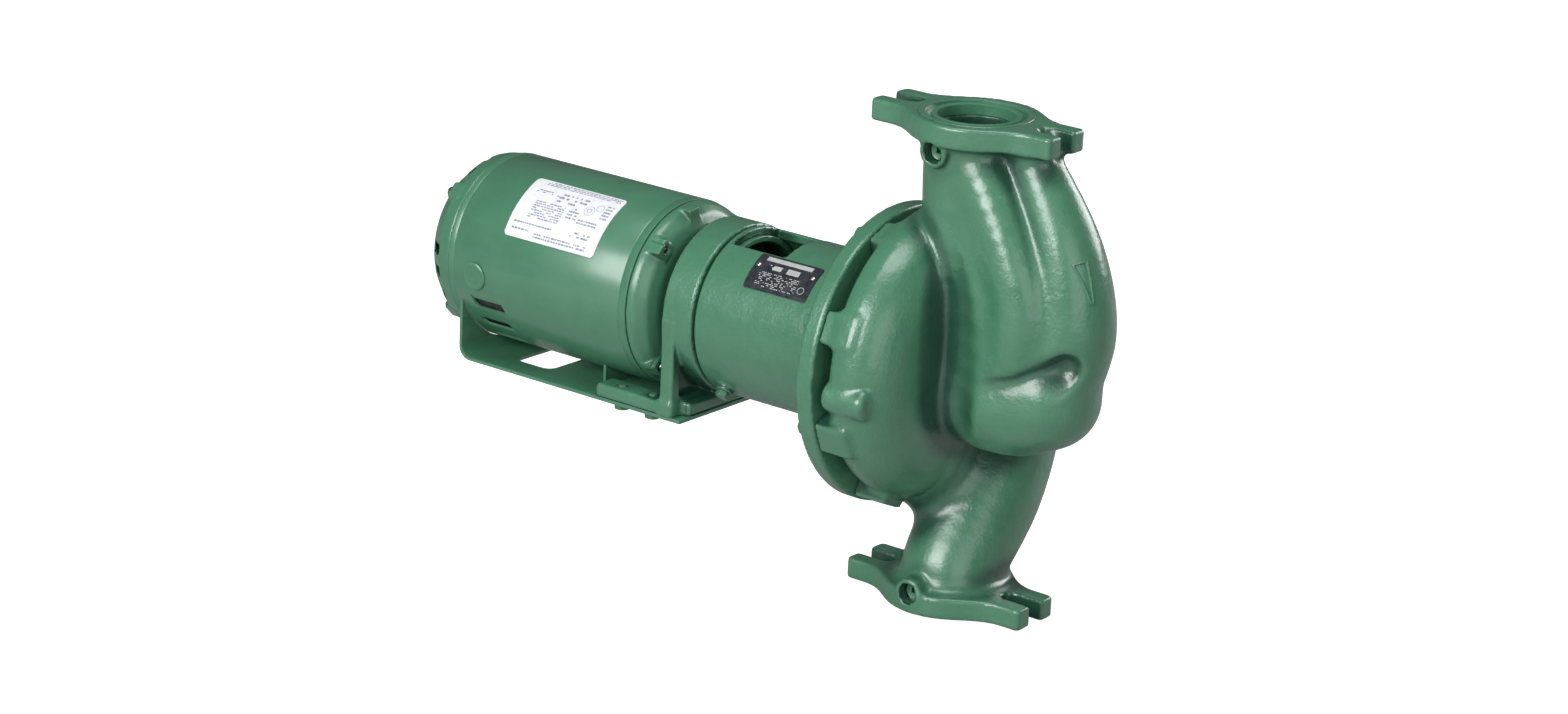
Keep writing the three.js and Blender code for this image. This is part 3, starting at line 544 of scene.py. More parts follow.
def turned_object(
    name: str, profile: Sequence[Sequence[float]] | Array, sides: int, easing: float = 0.0
) -> bpy.types.Object:
    """A turned piece about the shaft axis.

    Args:
        name: The piece's name.
        profile: Closed outline of (x, radius) rows.
        sides: Steps round the axis.
        easing: Reach of the rounding at every corner.

    Returns:
        The object.
    """
    rows = eased(profile, easing) if easing > 0 else np.asarray(profile, float)
    grid = turned_grid(rows, sides)
    made = mesh_object(name, grid.reshape(-1, 3), grid_faces(len(rows), sides, True, True))
    return tidied(made)


def placed(grid: Array, axis: str, place: Sequence[float], turn: float = 0.0) -> Array:
    """Carries a piece made along +X to another axis and place, then turns it about the shaft.

    Args:
        grid: Points made about the X axis.
        axis: One of x, y, -y, z and -z, the way that +X goes.
        place: Where the origin goes.
        turn: Turn about the shaft afterwards, in degrees.

    Returns:
        The moved points.
    """
    x, y, z = grid[..., 0], grid[..., 1], grid[..., 2]
    ways = {
        "x": (x, y, z),
        "y": (z, x, y),
        "-y": (-z, -x, y),
        "z": (y, z, x),
        "-z": (y, -z, -x),
    }
    return spun(np.stack(ways[axis], axis=-1) + np.asarray(place, float), turn)


def cut_with(body: bpy.types.Object, cutters: Iterable[bpy.types.Object]) -> bpy.types.Object:
    """Cuts closed pieces out of a closed body and keeps the result as its mesh.

    Args:
        body: The closed body.
        cutters: The closed pieces, which are used up.

    Returns:
        The body.
    """
    for cutter in cutters:
        step = body.modifiers.new("cut", "BOOLEAN")
        step.operation = "DIFFERENCE"
        step.solver = "EXACT"
        step.object = cutter
    bpy.context.view_layer.update()
    result = bpy.data.meshes.new_from_object(body.evaluated_get(bpy.context.evaluated_depsgraph_get()))
    used = [step.object for step in body.modifiers]
    body.modifiers.clear()
    body.data = result
    for cutter in used:
        bpy.data.objects.remove(cutter)
    return tidied(body)


def wrapped_prism(
    name: str, corners: Sequence[Sequence[float]], radii: Sequence[float], steps: int = 6
) -> bpy.types.Object:
    """A closed prism whose outline lies on a cylinder round the shaft.

    A corner (x, angle) gives one point at each radius, and each side is divided into even steps.

    Args:
        name: The piece's name.
        corners: Outline as (x, angle in degrees) rows.
        radii: Inner and outer radius.
        steps: Spans on each side.

    Returns:
        The object.
    """
    corner = np.asarray(corners, float)
    s = np.linspace(0.0, 1.0, steps, endpoint=False)[None, :, None]
    rim = (corner[:, None] * (1 - s) + np.roll(corner, -1, axis=0)[:, None] * s).reshape(-1, 2)
    turn = np.radians(rim[:, 1])
    rings = [np.stack([rim[:, 0], r * np.cos(turn), r * np.sin(turn)], axis=-1) for r in radii]
    n = len(rim)
    faces = grid_faces(2, n, False, True).tolist()
    faces += [list(range(n)), list(range(2 * n - 1, n - 1, -1))]
    return tidied(mesh_object(name, np.concatenate(rings), faces))


def bar_object(
    name: str,
    axis: str,
    span: Sequence[float],
    radius: float,
    place: Sequence[float] = (0, 0, 0),
    turn: float = 0.0,
    sides: int = 48,
) -> bpy.types.Object:
    """A plain round bar, used to cut holes.

    Args:
        name: The piece's name.
        axis: The axis that it lies along.
        span: Its two ends along that axis.
        radius: Its radius.
        place: Where its axis starts from.
        turn: Turn about the shaft, in degrees.
        sides: Steps round it.

    Returns:
        The object.
    """
    profile = np.array([(span[0], 0.0), (span[0], radius), (span[1], radius), (span[1], 0.0)])
    grid = placed(turned_grid(profile, sides), axis, place, turn)
    return tidied(mesh_object(name, grid.reshape(-1, 3), grid_faces(4, sides, True, True)))


# ---- Finishes -----------------------------------------------------------------------------------------
class Slot(Enum):
    """The record's material slots, named with each new piece."""

    GREEN = "green_paint"
    STEEL = "steel"
    ZINC = "zinc_plated_steel"
    RUBBER = "rubber"
    PLASTIC = "fan_plastic"
    LABEL = "label_film"
    NAMEPLATE = "nameplate"


class Wiring:
    """A material's node tree, filled in step by step."""

    def __init__(self, name: str) -> None:
        """Starts an empty material with a Principled shader.

        Args:
            name: The material's name.
        """
        self.material = bpy.data.materials.new(name)
        self.material.use_nodes = True
        self.tree = self.material.node_tree
        self.tree.nodes.clear()
        self.shader = self.tree.nodes.new("ShaderNodeBsdfPrincipled")
        output = self.tree.nodes.new("ShaderNodeOutputMaterial")
        self.tree.links.new(self.shader.outputs[0], output.inputs["Surface"])
        self.place = self.tree.nodes.new("ShaderNodeTexCoord").outputs["Object"]

    def noise(
        self, scale: float, detail: float = 3.0, stretch: Sequence[float] = (1, 1, 1)
    ) -> bpy.types.NodeSocket:
        """Noise over the piece's own coordinates, with ``scale`` features to the metre.

        Args:
            scale: Features to the metre.
            detail: Levels of finer noise.
            stretch: Scale along each axis.

        Returns:
            The noise, from 0 to 1.
        """
        mapping = self.tree.nodes.new("ShaderNodeMapping")
        mapping.inputs["Scale"].default_value = tuple(stretch)
        node = self.tree.nodes.new("ShaderNodeTexNoise")
        node.inputs["Scale"].default_value = scale
        node.inputs["Detail"].default_value = detail
        self.tree.links.new(self.place, mapping.inputs["Vector"])
        self.tree.links.new(mapping.outputs[0], node.inputs["Vector"])
        return node.outputs[0]

    def range(
        self, value: bpy.types.NodeSocket, low: float, high: float, to_low: float, to_high: float
    ) -> bpy.types.NodeSocket:
        """A value carried evenly from one range to another, and held at its ends.

        Args:
            value: The value.
            low: Start of its range.
            high: End of its range.
            to_low: Start of the new range.
            to_high: End of the new range.

        Returns:
            The new value.
        """
        node = self.tree.nodes.new("ShaderNodeMapRange")
        for name, number in zip(("From Min", "From Max", "To Min", "To Max"), (low, high, to_low, to_high)):
            node.inputs[name].default_value = number
        self.tree.links.new(value, node.inputs["Value"])
        return node.outputs[0]

    def mixed(
        self,
        share: bpy.types.NodeSocket,
        first: Sequence[float] | bpy.types.NodeSocket,
        second: Sequence[float],
    ) -> bpy.types.NodeSocket:
        """One colour passing into another as the share goes from 0 to 1.

        Args:
            share: The share of the second colour.
            first: First colour, or a socket that gives it.
            second: Second colour.

        Returns:
            The mixed colour.
        """
        node = self.tree.nodes.new("ShaderNodeMix")
        node.data_type = "RGBA"
        self.tree.links.new(share, node.inputs["Factor"])
        if isinstance(first, bpy.types.NodeSocket):
            self.tree.links.new(first, node.inputs["A"])
        else:
            node.inputs["A"].default_value = (*first, 1.0)
        node.inputs["B"].default_value = (*second, 1.0)
        return node.outputs["Result"]

    def bumped(self, heights: Sequence[tuple[bpy.types.NodeSocket, float, float]]) -> None:
        """Stacks bump layers, each a height socket, a strength and a depth in metres.

        Args:
            heights: The layers, lowest first.
        """
        normal = None
        for height, strength, depth in heights:
            node = self.tree.nodes.new("ShaderNodeBump")
            node.inputs["Strength"].default_value = strength
            node.inputs["Distance"].default_value = depth
            self.tree.links.new(height, node.inputs["Height"])
            if normal is not None:
                self.tree.links.new(normal, node.inputs["Normal"])
            normal = node.outputs[0]
        self.tree.links.new(normal, self.shader.inputs["Normal"])

    def set(self, **values: float) -> None:
        """Sets plain numbers on the shader's own sockets, named with underscores for spaces."""
        for name, value in values.items():
            self.shader.inputs[name.replace("_", " ")].default_value = value

    def connect(self, socket: bpy.types.NodeSocket, name: str) -> None:
        """Joins a socket to one of the shader's inputs."""
        self.tree.links.new(socket, self.shader.inputs[name])


@dataclass(frozen=True)
class Enamel:
    """Semi-gloss green machine enamel over a casting or a rolled sheet."""

    name: str
    colour: tuple[float, float, float] = (0.072, 0.232, 0.134)
    pale: tuple[float, float, float] = (0.088, 0.246, 0.150)
    deep: tuple[float, float, float] = (0.062, 0.212, 0.118)
    # Colour of the painted shade in creases, standing in for the light that creases lose.
    crease_shade_colour: tuple[float, float, float] = (0.010, 0.060, 0.036)
    grain_depth: float = 0.00045
    swell_depth: float = 0.00090
    roughness: tuple[float, float] = (0.28, 0.40)

    def material(self) -> bpy.types.Material:
        """Builds the paint: cloudy colour, painted shade in creases, uneven gloss, orange peel and the
        casting's slow swell.

        Returns:
            The material.
        """
        wiring = Wiring(self.name)
        clouds = wiring.range(wiring.noise(26, 4), 0.35, 0.68, 0.0, 1.0)
        tinted = wiring.mixed(clouds, self.deep, self.colour)
        dust = wiring.range(wiring.noise(90, 6), 0.52, 0.76, 0.0, 0.45)
        painted = wiring.mixed(dust, tinted, self.pale)
        # Painted shade: the paint darkens towards the crease shade colour the deeper a point sits in a crease.
        crevice_shade = wiring.tree.nodes.new("ShaderNodeAttribute")
        crevice_shade.attribute_name = "crevice_shade"
        settled = wiring.range(crevice_shade.outputs["Fac"], 0.12, 0.56, 0.0, 0.9)
        wiring.connect(wiring.mixed(settled, painted, self.crease_shade_colour), "Base Color")
        wiring.connect(wiring.range(wiring.noise(60, 5), 0.3, 0.7, *self.roughness), "Roughness")
        wiring.set(Specular_IOR_Level=0.6, Coat_Weight=0.75, Coat_Roughness=0.22)
        wiring.bumped(
            [
                (wiring.noise(70, 2), 1.0, self.swell_depth),
                (wiring.noise(420, 3), 0.8, self.grain_depth),
            ]
        )
        return wiring.material


@dataclass(frozen=True)
class BareMetal:
    """A machined or drawn metal with fine lines and a little tarnish."""

    name: str
    colour: tuple[float, float, float]
    tarnish: tuple[float, float, float]
    roughness: tuple[float, float] = (0.22, 0.40)
    lines: tuple[float, float, float] = (14.0, 1.0, 1.0)
    metallic: float = 1.0

    def material(self) -> bpy.types.Material:
        """Builds the metal: tool lines across X, blotched tarnish and uneven gloss.

        Returns:
            The material.
        """
        wiring = Wiring(self.name)
        blotch = wiring.range(wiring.noise(110, 5), 0.45, 0.75, 0.0, 0.8)
        wiring.connect(wiring.mixed(blotch, self.colour, self.tarnish), "Base Color")
        wiring.connect(wiring.range(wiring.noise(240, 4), 0.3, 0.7, *self.roughness), "Roughness")
        wiring.set(Metallic=self.metallic)
        wiring.bumped([(wiring.noise(220, 2, self.lines), 0.5, 0.00006)])
        return wiring.material


@dataclass(frozen=True)
class Moulded:
    """A moulded, sintered or printed surface with a fine grain."""

    name: str
    colour: tuple[float, float, float]
    pale: tuple[float, float, float]
    roughness: tuple[float, float] = (0.5, 0.7)
    grain: float = 900.0
    depth: float = 0.00008
    coat: float = 0.0

    def material(self) -> bpy.types.Material:
        """Builds the surface: two close tints, uneven gloss and a fine grain.

        Returns:
            The material.
        """
        wiring = Wiring(self.name)
        cloud = wiring.range(wiring.noise(150, 4), 0.4, 0.7, 0, 1)
        wiring.connect(wiring.mixed(cloud, self.colour, self.pale), "Base Color")
        wiring.connect(wiring.range(wiring.noise(300, 3), 0.3, 0.7, *self.roughness), "Roughness")
        wiring.set(Coat_Weight=self.coat)
        wiring.bumped([(wiring.noise(self.grain, 2), 0.6, self.depth)])
        return wiring.material


@dataclass(frozen=True)
class Wound:
    """Layers across one axis, such as stacked laminations or wound wire."""

    name: str
    colour: tuple[float, float, float]
    gap: tuple[float, float, float]
    pitch: float
    metallic: float
    roughness: float = 0.4

    def material(self) -> bpy.types.Material:
        """Builds the layers: bands across X with darker lines between them.

        Returns:
            The material.
        """
        wiring = Wiring(self.name)
        wave = wiring.tree.nodes.new("ShaderNodeTexWave")
        wave.bands_direction = "X"
        wave.inputs["Scale"].default_value = 0.314 / (self.pitch * MM)
        wave.inputs["Distortion"].default_value = 0.6
        wiring.tree.links.new(wiring.place, wave.inputs["Vector"])
        bands = wave.outputs["Fac"]
        wiring.connect(wiring.mixed(bands, self.gap, self.colour), "Base Color")
        gloss = wiring.range(wiring.noise(200, 3), 0.3, 0.7, self.roughness, self.roughness + 0.15)
        wiring.connect(gloss, "Roughness")
        wiring.set(Metallic=self.metallic)
        wiring.bumped([(bands, 0.6, 0.0003)])
        return wiring.material


@dataclass
class Palette:
    """Every finish on the pump, each made once."""

    made: dict[str, bpy.types.Material] = field(default_factory=dict)

    def finishes(self) -> list[Enamel | BareMetal | Moulded | Wound]:
        """The finishes by name.

        Returns:
            Every finish.
        """
        return [
            Enamel("cast_enamel"),
            Enamel("sheet_enamel", grain_depth=0.00010, swell_depth=0.00022, roughness=(0.34, 0.44)),
            BareMetal("ground_steel", (0.56, 0.57, 0.58), (0.36, 0.35, 0.33)),
            BareMetal(
                "overpainted_zinc", (0.085, 0.215, 0.130), (0.16, 0.21, 0.16), (0.35, 0.5), metallic=0.2
            ),
            BareMetal("cage_brass", (0.62, 0.44, 0.18), (0.40, 0.27, 0.11)),
            BareMetal("cast_bronze", (0.47, 0.31, 0.15), (0.27, 0.18, 0.10), (0.3, 0.5)),
            Moulded("black_rubber", (0.018, 0.018, 0.018), (0.035, 0.035, 0.035), (0.6, 0.8)),
            Moulded("lapped_ceramic", (0.80, 0.78, 0.72), (0.70, 0.68, 0.62), (0.15, 0.3), coat=0.3),
            Moulded("lapped_carbon", (0.022, 0.022, 0.025), (0.045, 0.045, 0.05), (0.3, 0.45)),
            Wound("stacked_laminations", (0.30, 0.31, 0.33), (0.08, 0.08, 0.09), 0.9, 0.9),
            Wound("varnished_windings", (0.36, 0.10, 0.035), (0.10, 0.025, 0.01), 1.3, 0.2, 0.3),
            Moulded("fan_plastic", (0.020, 0.021, 0.023), (0.04, 0.04, 0.045), (0.4, 0.55)),
            Moulded(
                "label_film", (0.86, 0.88, 0.92), (0.93, 0.94, 0.96), (0.25, 0.35), depth=0.00003, coat=0.3
            ),
            Moulded("label_ink", (0.20, 0.21, 0.33), (0.42, 0.43, 0.55), (0.4, 0.5), depth=0.00002),
            Moulded(
                "plate_black", (0.020, 0.022, 0.030), (0.045, 0.05, 0.06), (0.3, 0.45), depth=0.00003, coat=0.2
            ),
            BareMetal("plate_bare", (0.52, 0.55, 0.54), (0.36, 0.40, 0.38), (0.4, 0.55), (1, 1, 1), 0.1),
            Moulded("pressed_fibre", (0.11, 0.09, 0.07), (0.17, 0.14, 0.11), (0.7, 0.9), 500),
        ]

    def __post_init__(self) -> None:
        """Makes every material."""
        for finish in self.finishes():
            self.made[finish.name] = finish.material()

    def dress(self, piece: bpy.types.Object, finish: str) -> None:
        """Gives a piece one finish all over."""
        piece.data.materials.clear()
        piece.data.materials.append(self.made[finish])


# ---- Shared workshop ----------------------------------------------------------------------------------
@dataclass
class Workshop:
    """Dresses pieces, sets them on their bodies and keeps count."""

    palette: Palette
    nodes: dict[str, bpy.types.Object]
    pieces: list[str] = field(default_factory=list)

    def stand_for(
        self,
        piece: bpy.types.Object,
        finish: str,
        slot: Slot,
        nodes: Sequence[str] = (),
        body: str = "frame",
    ) -> bpy.types.Object:
        """Finishes a new piece.

        Args:
            piece: The new mesh object.
            finish: Name of its finish.
            slot: The record's slot for the piece; not used.
            nodes: CAD nodes that it stands for.
            body: The body that it rides on.

        Returns:
            The piece.
        """
        self.palette.dress(piece, finish)
        if nodes:
            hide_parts(*nodes)
        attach(piece, body)
        self.pieces.append(piece.name)
        LOG.info("%s: %d faces", piece.name, len(piece.data.polygons))
        return piece

    def keep(self, finish: str, *names: str) -> None:
        """Keeps CAD nodes as they are and gives them a finish.

        Args:
            finish: Name of the finish.
            names: The CAD nodes.
        """
        for name in names:
            self.palette.dress(self.nodes[name], finish)
            LOG.info("%s: kept with %s", name, finish)


def box_mm(node: str) -> tuple[Array, Array]:
    """Lowest and highest corner of a CAD node, in millimetres."""
    low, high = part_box(node)
    return np.array(low) / MM, np.array(high) / MM


def net_round(node: str, distance: Field, pitch: float, margin: float) -> SurfaceNet:
    """A surface net over a CAD node's box.

    Args:
        node: The CAD node that the piece stands for.
        distance: The piece's distance field.
        pitch: Size of the net's cells.
        margin: How far the net reaches past the box.

    Returns:
        The net.
    """
    low, high = box_mm(node)
    return SurfaceNet(distance, tuple(low - margin), tuple(high + margin), pitch)


# ---- Pump casing --------------------------------------------------------------------------------------
@dataclass
class PumpCasing:
    """The cast volute casing: scroll, suction passage, discharge neck, two forked flanges and its bosses."""

    shop: Workshop
    pitch: float = 2.6
    flange_thickness: float = 18.5
    flange_radius: float = 55.0
    ear_reach: float = 89.2
    ear_half_width: float = 25.2
    slot_half_width: float = 8.5
    slot_root: float = 64.0
    seat_radius: float = 45.6
    seat_depth: float = 10.0
    back_face: float = -58.0
    tongue_angle: float = -105.0
    scroll_growth: float = 32.0
    growth_turn: float = 0.86
    flange_corner: float = 4.0
    flange_fillet: float = 13.0
    neck_radius: float = 39.5
    bridge_fillet: float = 12.0
    bulge_fillet: float = 8.0
    crease_fillet: float = 9.0
    chin_fillet: float = 7.0
    passage_fillet: float = 9.0
    valley_fillet: float = 10.0
    lug_fillet: float = 7.0
    discharge_fillet: float = 16.0
    gauge_fillet: float = 5.0
    tap_radius: float = 8.4
    cut_edge: float = 1.2
    margin: float = 18.0
    lug_angle: float = 112.0
    lugs: int = 8
    # Each gauge boss as x, z, front face, radius and the floor of its tap.
    gauges: tuple[tuple[float, ...], ...] = (
        (-6.5, 192.0, -50.5, 13.0, -36.0), (-3.0, -184.0, -54.5, 12.5, -40.0)
    )
    chamber: tuple[tuple[float, float], ...] = (
        (-90, -9), (-90, 102), (-52.9, 102), (-52.9, 95), (-5, 95), (-5, -9)
    )
    channel: tuple[tuple[float, float], ...] = (
        (-44, 60), (-44, 100), (-38, 103), (-22, 103), (-9, 93), (-8, 60)
    )
    scroll_profile: tuple[tuple[float, float], ...] = (
        (-50, -20), (-50, 113), (-28, 117), (-10, 109), (3, 92), (8, 70), (8, 48), (8, -20),
    )
    discharge_way: tuple[tuple[float, ...], ...] = (
        (-10, 86, -40, 47), (-8, 70, -84, 49), (-3, 46, -120, 48), (0, 22, -150, 44), (0, 3, -174, 41),
        (0, 0, -192, 41),
    )
    core_way: tuple[tuple[float, ...], ...] = (
        (0, 0, 196, 38), (6, 0, 152, 41), (22, 0, 115, 44), (36, 0, 80, 46), (40, 0, 48, 46),
        (38, 0, 14, 45), (32, 0, -10, 44),
    )
    bulge_way: tuple[tuple[float, ...], ...] = (
        (50, 0, 200, 18), (66, 0, 176, 22), (85, 0, 142, 27), (97, 0, 112, 31), (103, 0, 80, 35),
        (102, 0, 50, 38), (94, 0, 20, 38),
    )
    ridge_way: tuple[tuple[float, ...], ...] = (
        (14, 19, 186, 22), (40, 22, 149, 24), (60, 25, 115, 25), (75, 26, 82, 26), (76, 23, 48, 29),
        (65, 18, 14, 30), (48, 17, -10, 28),
    )
    chin_way: tuple[tuple[float, ...], ...] = (
        (36, 0, -14, 46), (62, 0, -10, 47), (88, 0, -3, 43),
    )
    outlet_radius: float = 27.0
    inlet_way: tuple[tuple[float, ...], ...] = (
        (0, 0, 240, 32), (2, 0, 196, 32), (22, 0, 164, 31), (50, 0, 126, 31), (70, 0, 90, 30),
        (76, 0, 54, 30), (66, 0, 20, 31), (40, 0, 2, 33), (-12, 0, 0, 33),
    )
    crease_way: tuple[tuple[float, ...], ...] = (
        (46, 55, -2, 10), (66, 51, 3, 12), (88, 47, 9, 13), (107, 40, 19, 14), (122, 30, 34, 12),
    )
    valley_way: tuple[tuple[float, ...], ...] = (
        (8, 50, 134, 6), (17, 55, 106, 10), (25, 58, 70, 15), (28, 59, 28, 17), (28, 56, -10, 16),
        (28, 48, -44, 11),
    )

    def __post_init__(self) -> None:
        """Takes the two face heights from the frame."""
        low, high = box_mm("pump_casing")
        self.top_face = float(high[2])
        self.bottom_face = float(low[2])
        self.smooth_scroll = eased(self.scroll_profile, 20.0, 5)
        self.core = smooth_way(self.core_way)
        self.bulge = smooth_way(self.bulge_way)
        self.ridge = smooth_way(self.ridge_way)
        self.chin = smooth_way(self.chin_way, 2)
        self.discharge = smooth_way(self.discharge_way)
        self.crease = smooth_way(self.crease_way, 3)
        self.valley = smooth_way(self.valley_way, 2)
        self.inlet = smooth_way(self.inlet_way, 2)
        bore = [(x, y, z, self.outlet_radius) for x, y, z, _ in self.discharge_way]
        self.outlet = smooth_way([*bore, (0, 0, self.bottom_face - 40, self.outlet_radius)], 2)

    def growth(self, angle: Array) -> Array:
        """How much further out than its start the scroll has grown at an angle round the shaft.

        Args:
            angle: Angles in degrees.

        Returns:
            Millimetres, one for each angle.
        """
        travelled = np.mod(self.tongue_angle - angle + 720.0, 360.0) / 360.0
        rise = np.minimum(travelled / self.growth_turn, 1.0)
        fall = np.maximum((travelled - self.growth_turn) / (1 - self.growth_turn), 0.0)
        return self.scroll_growth * rise * (1 - fall**2)

    def scroll(self, p: Array) -> Array:
        """Distance to the scroll: its profile in (x, radius), with the growth taken off the radius.

        Args:
            p: Points, one row each.

        Returns:
            One distance per point.
        """
        flat = around(p)
        share = np.clip((flat[:, 1] - 45.0) / 50.0, 0.0, 1.0)
        angle = np.degrees(np.arctan2(p[:, 2], p[:, 1]))
        flat[:, 1] -= self.growth(angle) * share * share * (3 - 2 * share)
        return outline(flat, self.smooth_scroll) * 0.92

    def flange(self, p: Array, middle: float) -> Array:
        """Distance to a flange: a disc joined to a bar with rounded ends, less a slot at each end.

        Args:
            p: Points, one row each.
            middle: Height of the flange's middle.

        Returns:
            One distance per point.
        """
        x, y = np.abs(p[:, 0]), np.abs(p[:, 1])
        disc = np.hypot(x, y) - self.flange_radius
        corner = self.flange_corner
        q = np.stack([x - self.ear_reach + corner, y - self.ear_half_width + corner], axis=-1)
        bar = np.linalg.norm(np.maximum(q, 0), axis=-1) + np.minimum(q.max(axis=-1), 0) - corner
        flat = merged(disc, bar, 22.0)
        slot = np.where(x > self.slot_root, y, np.hypot(x - self.slot_root, y)) - self.slot_half_width
        flat = carved(flat, slot, 2.0)
        return raised(flat, p[:, 2] - middle, self.flange_thickness / 2, 2.6)

    def body(self, p: Array) -> Array:
        """Distance to the outside of the casting, before anything is cut out of it.

        Args:
            p: Points, one row each.

        Returns:
            One distance per point.
        """
        near = np.stack([p[:, 0], np.abs(p[:, 1]), p[:, 2]], axis=-1)
        suction = merged(run_of(p, self.core), run_of(near, self.ridge), self.bridge_fillet)
        suction = merged(suction, run_of(p, self.bulge), self.bulge_fillet)
        suction = carved(suction, run_of(near, self.crease), self.crease_fillet)
        suction = merged(suction, run_of(p, self.chin), self.chin_fillet)
        whole = merged(self.scroll(p), suction, self.passage_fillet)
        whole = carved(whole, run_of(near, self.valley), self.valley_fillet)
        lug = slab(repeated(p, self.lug_angle, self.lugs), (-70.0, 92.0, -14.0), (-27.0, 125.0, 14.0), 3.0)
        whole = merged(whole, lug, self.lug_fillet)
        whole = merged(whole, drum(p, 0, (-50.0, -8.0), 13.0, (-114.0, -8.0), 5.0), 4.0)
        whole = np.maximum(whole, self.back_face - p[:, 0])
        neck = drum(p, 2, (90.0, self.top_face - 9), self.neck_radius, (0.0, 0.0), 3.0)
        whole = merged(whole, neck, 9.0)
        discharge = np.maximum(run_of(p, self.discharge), self.back_face - p[:, 0])
        whole = merged(whole, discharge, self.discharge_fillet)
        half = self.flange_thickness / 2
        for middle in (self.top_face - half, self.bottom_face + half):
            whole = merged(whole, self.flange(p, middle), self.flange_fillet)
        whole = np.maximum(whole, np.maximum(p[:, 2] - self.top_face, self.bottom_face - p[:, 2]))
        for x, z, front, radius, _ in self.gauges:
            whole = merged(whole, drum(p, 1, (front, -10.0), radius, (x, z), 2.5), self.gauge_fillet)
        return whole

    def hollows(self, p: Array) -> Array:
        """Distance to everything that is cut out: chamber, scroll channel, ways in and out, and pockets.

        Args:
            p: Points, one row each.

        Returns:
            One distance per point.
        """
        flat = around(p)
        chamber = outline(flat, np.array(self.chamber, float))
        share = np.clip((flat[:, 1] - 70.0) / 20.0, 0.0, 1.0)
        grown = flat.copy()
        grown[:, 1] -= self.growth(np.degrees(np.arctan2(p[:, 2], p[:, 1]))) * share
        channel = outline(grown, np.array(self.channel, float))
        way_in = carved(run_of(p, self.inlet), slab(p, (-34.0, -4.0, 96.0), (-12.0, 4.0, 203.0), 3.0), 4.0)
        way_out = run_of(p, self.outlet)
        ends = (
            (self.top_face - self.seat_depth, self.top_face + 20),
            (self.bottom_face - 20, self.bottom_face + self.seat_depth),
        )
        seats = [drum(p, 2, span, self.seat_radius, (0, 0), 0.5) for span in ends]
        taps = [
            drum(p, 1, (-70.0, floor), self.tap_radius, (x, z), 0.5) for x, z, _, _, floor in self.gauges
        ]
        total = merged(np.minimum(chamber, channel), way_in, 2.0)
        total = merged(total, way_out, 4.0)
        for other in (*seats, *taps):
            total = np.minimum(total, other)
        return total

    def distance(self, p: Array) -> Array:
        """Distance to the finished casting."""
        return carved(self.body(p), self.hollows(p), self.cut_edge)

    def build(self) -> None:
        """Builds the casting."""
        net = net_round("pump_casing", self.distance, self.pitch, self.margin)
        piece = net_object("casing_casting", net)
        self.shop.stand_for(piece, "cast_enamel", Slot.GREEN, ["pump_casing"])


# ---- Small parts --------------------------------------------------------------------------------------
def rings_object(name: str, grid: Array, sharp: float = 30.0) -> bpy.types.Object:
    """A closed object from a grid whose rows are rings and whose first and last row meet on themselves."""
    rows, columns = grid.shape[:2]
    return tidied(mesh_object(name, grid.reshape(-1, 3), grid_faces(rows, columns, True, True)), sharp)


def hex_screw_grid(
    across_flats: float, height: float, shank: float, length: float, sides: int = 60
) -> Array:
    """A hexagon-headed screw along +X, its head's seat at the origin and its shank on the -X side.

    A flat's radius at angle t from its middle is half the width over flats divided by cos t. The chamfer
    keeps the radius below a smaller and smaller circle towards the head's top.

    Args:
        across_flats: Width of the head over its flats.
        height: Height of the head.
        shank: Radius of the shank.
        length: Length of the shank.
        sides: Steps round the screw.

    Returns:
        Rings of points.
    """
    half = across_flats / 2
    turn = np.linspace(0.0, 2 * math.pi, sides, endpoint=False)
    flat = half / np.cos(np.mod(turn, math.pi / 3) - math.pi / 6)
    shank_caps, shank_places = [0.0, shank * 0.8, shank, shank], [-length, -length, -length + 1, 0]
    head_caps = [half * 1.2, half * 1.2, half * 1.08, half * 0.95, half * 0.6, 0.0]
    head_places = [0, height * 0.78, height * 0.93, height, height - 0.25, height - 0.3]
    caps = np.array(shank_caps + head_caps)
    places = np.array(shank_places + head_places)
    radius = np.minimum(flat[None, :], caps[:, None])
    x = np.broadcast_to(places[:, None], radius.shape)
    return np.stack([x, radius * np.cos(turn), radius * np.sin(turn)], axis=-1)


def mirrored(grid: Array) -> Array:
    """A grid made along +X, turned to lie along -X."""
    return grid * np.array([-1.0, 1.0, 1.0])


def film_object(
    name: str,
    x_span: Sequence[float],
    angles: Sequence[float],
    radii: Sequence[float],
    corner: float,
    rows: int = 40,
) -> bpy.types.Object:
    """A thin plate wrapped round the shaft axis, its four corners rounded.

    Within the corner radius c of an edge, a row that lies d from it is shorter at each end by
    c - sqrt(c^2 - (c - d)^2).

    Args:
        name: The piece's name.
        x_span: Its two ends along the shaft.
        angles: Its two edges round the shaft, in degrees.
        radii: Its inner and outer radius.
        corner: Corner radius.
        rows: Steps from edge to edge.

    Returns:
        The object.
    """
    share = (1 - np.cos(np.linspace(0.0, math.pi, rows))) / 2
    turn = np.radians(angles[0] + (angles[1] - angles[0]) * share)
    width = abs(math.radians(angles[1] - angles[0])) * radii[1]
    depth = np.clip(corner - width * np.minimum(share, 1 - share), 0.0, corner)
    inset = corner - np.sqrt(np.maximum(corner**2 - depth**2, 0.0))
    x = np.stack([x_span[0] + inset, x_span[1] - inset, x_span[1] - inset, x_span[0] + inset], axis=-1)
    r = np.array([radii[0], radii[0], radii[1], radii[1]])[None, :]
    grid = np.stack([x, r * np.cos(turn)[:, None], r * np.sin(turn)[:, None]], axis=-1)
    faces = grid_faces(rows, 4, False, True).tolist()
    faces += [[0, 1, 2, 3], [4 * rows - 1, 4 * rows - 2, 4 * rows - 3, 4 * rows - 4]]
    return tidied(mesh_object(name, grid.reshape(-1, 3), faces))


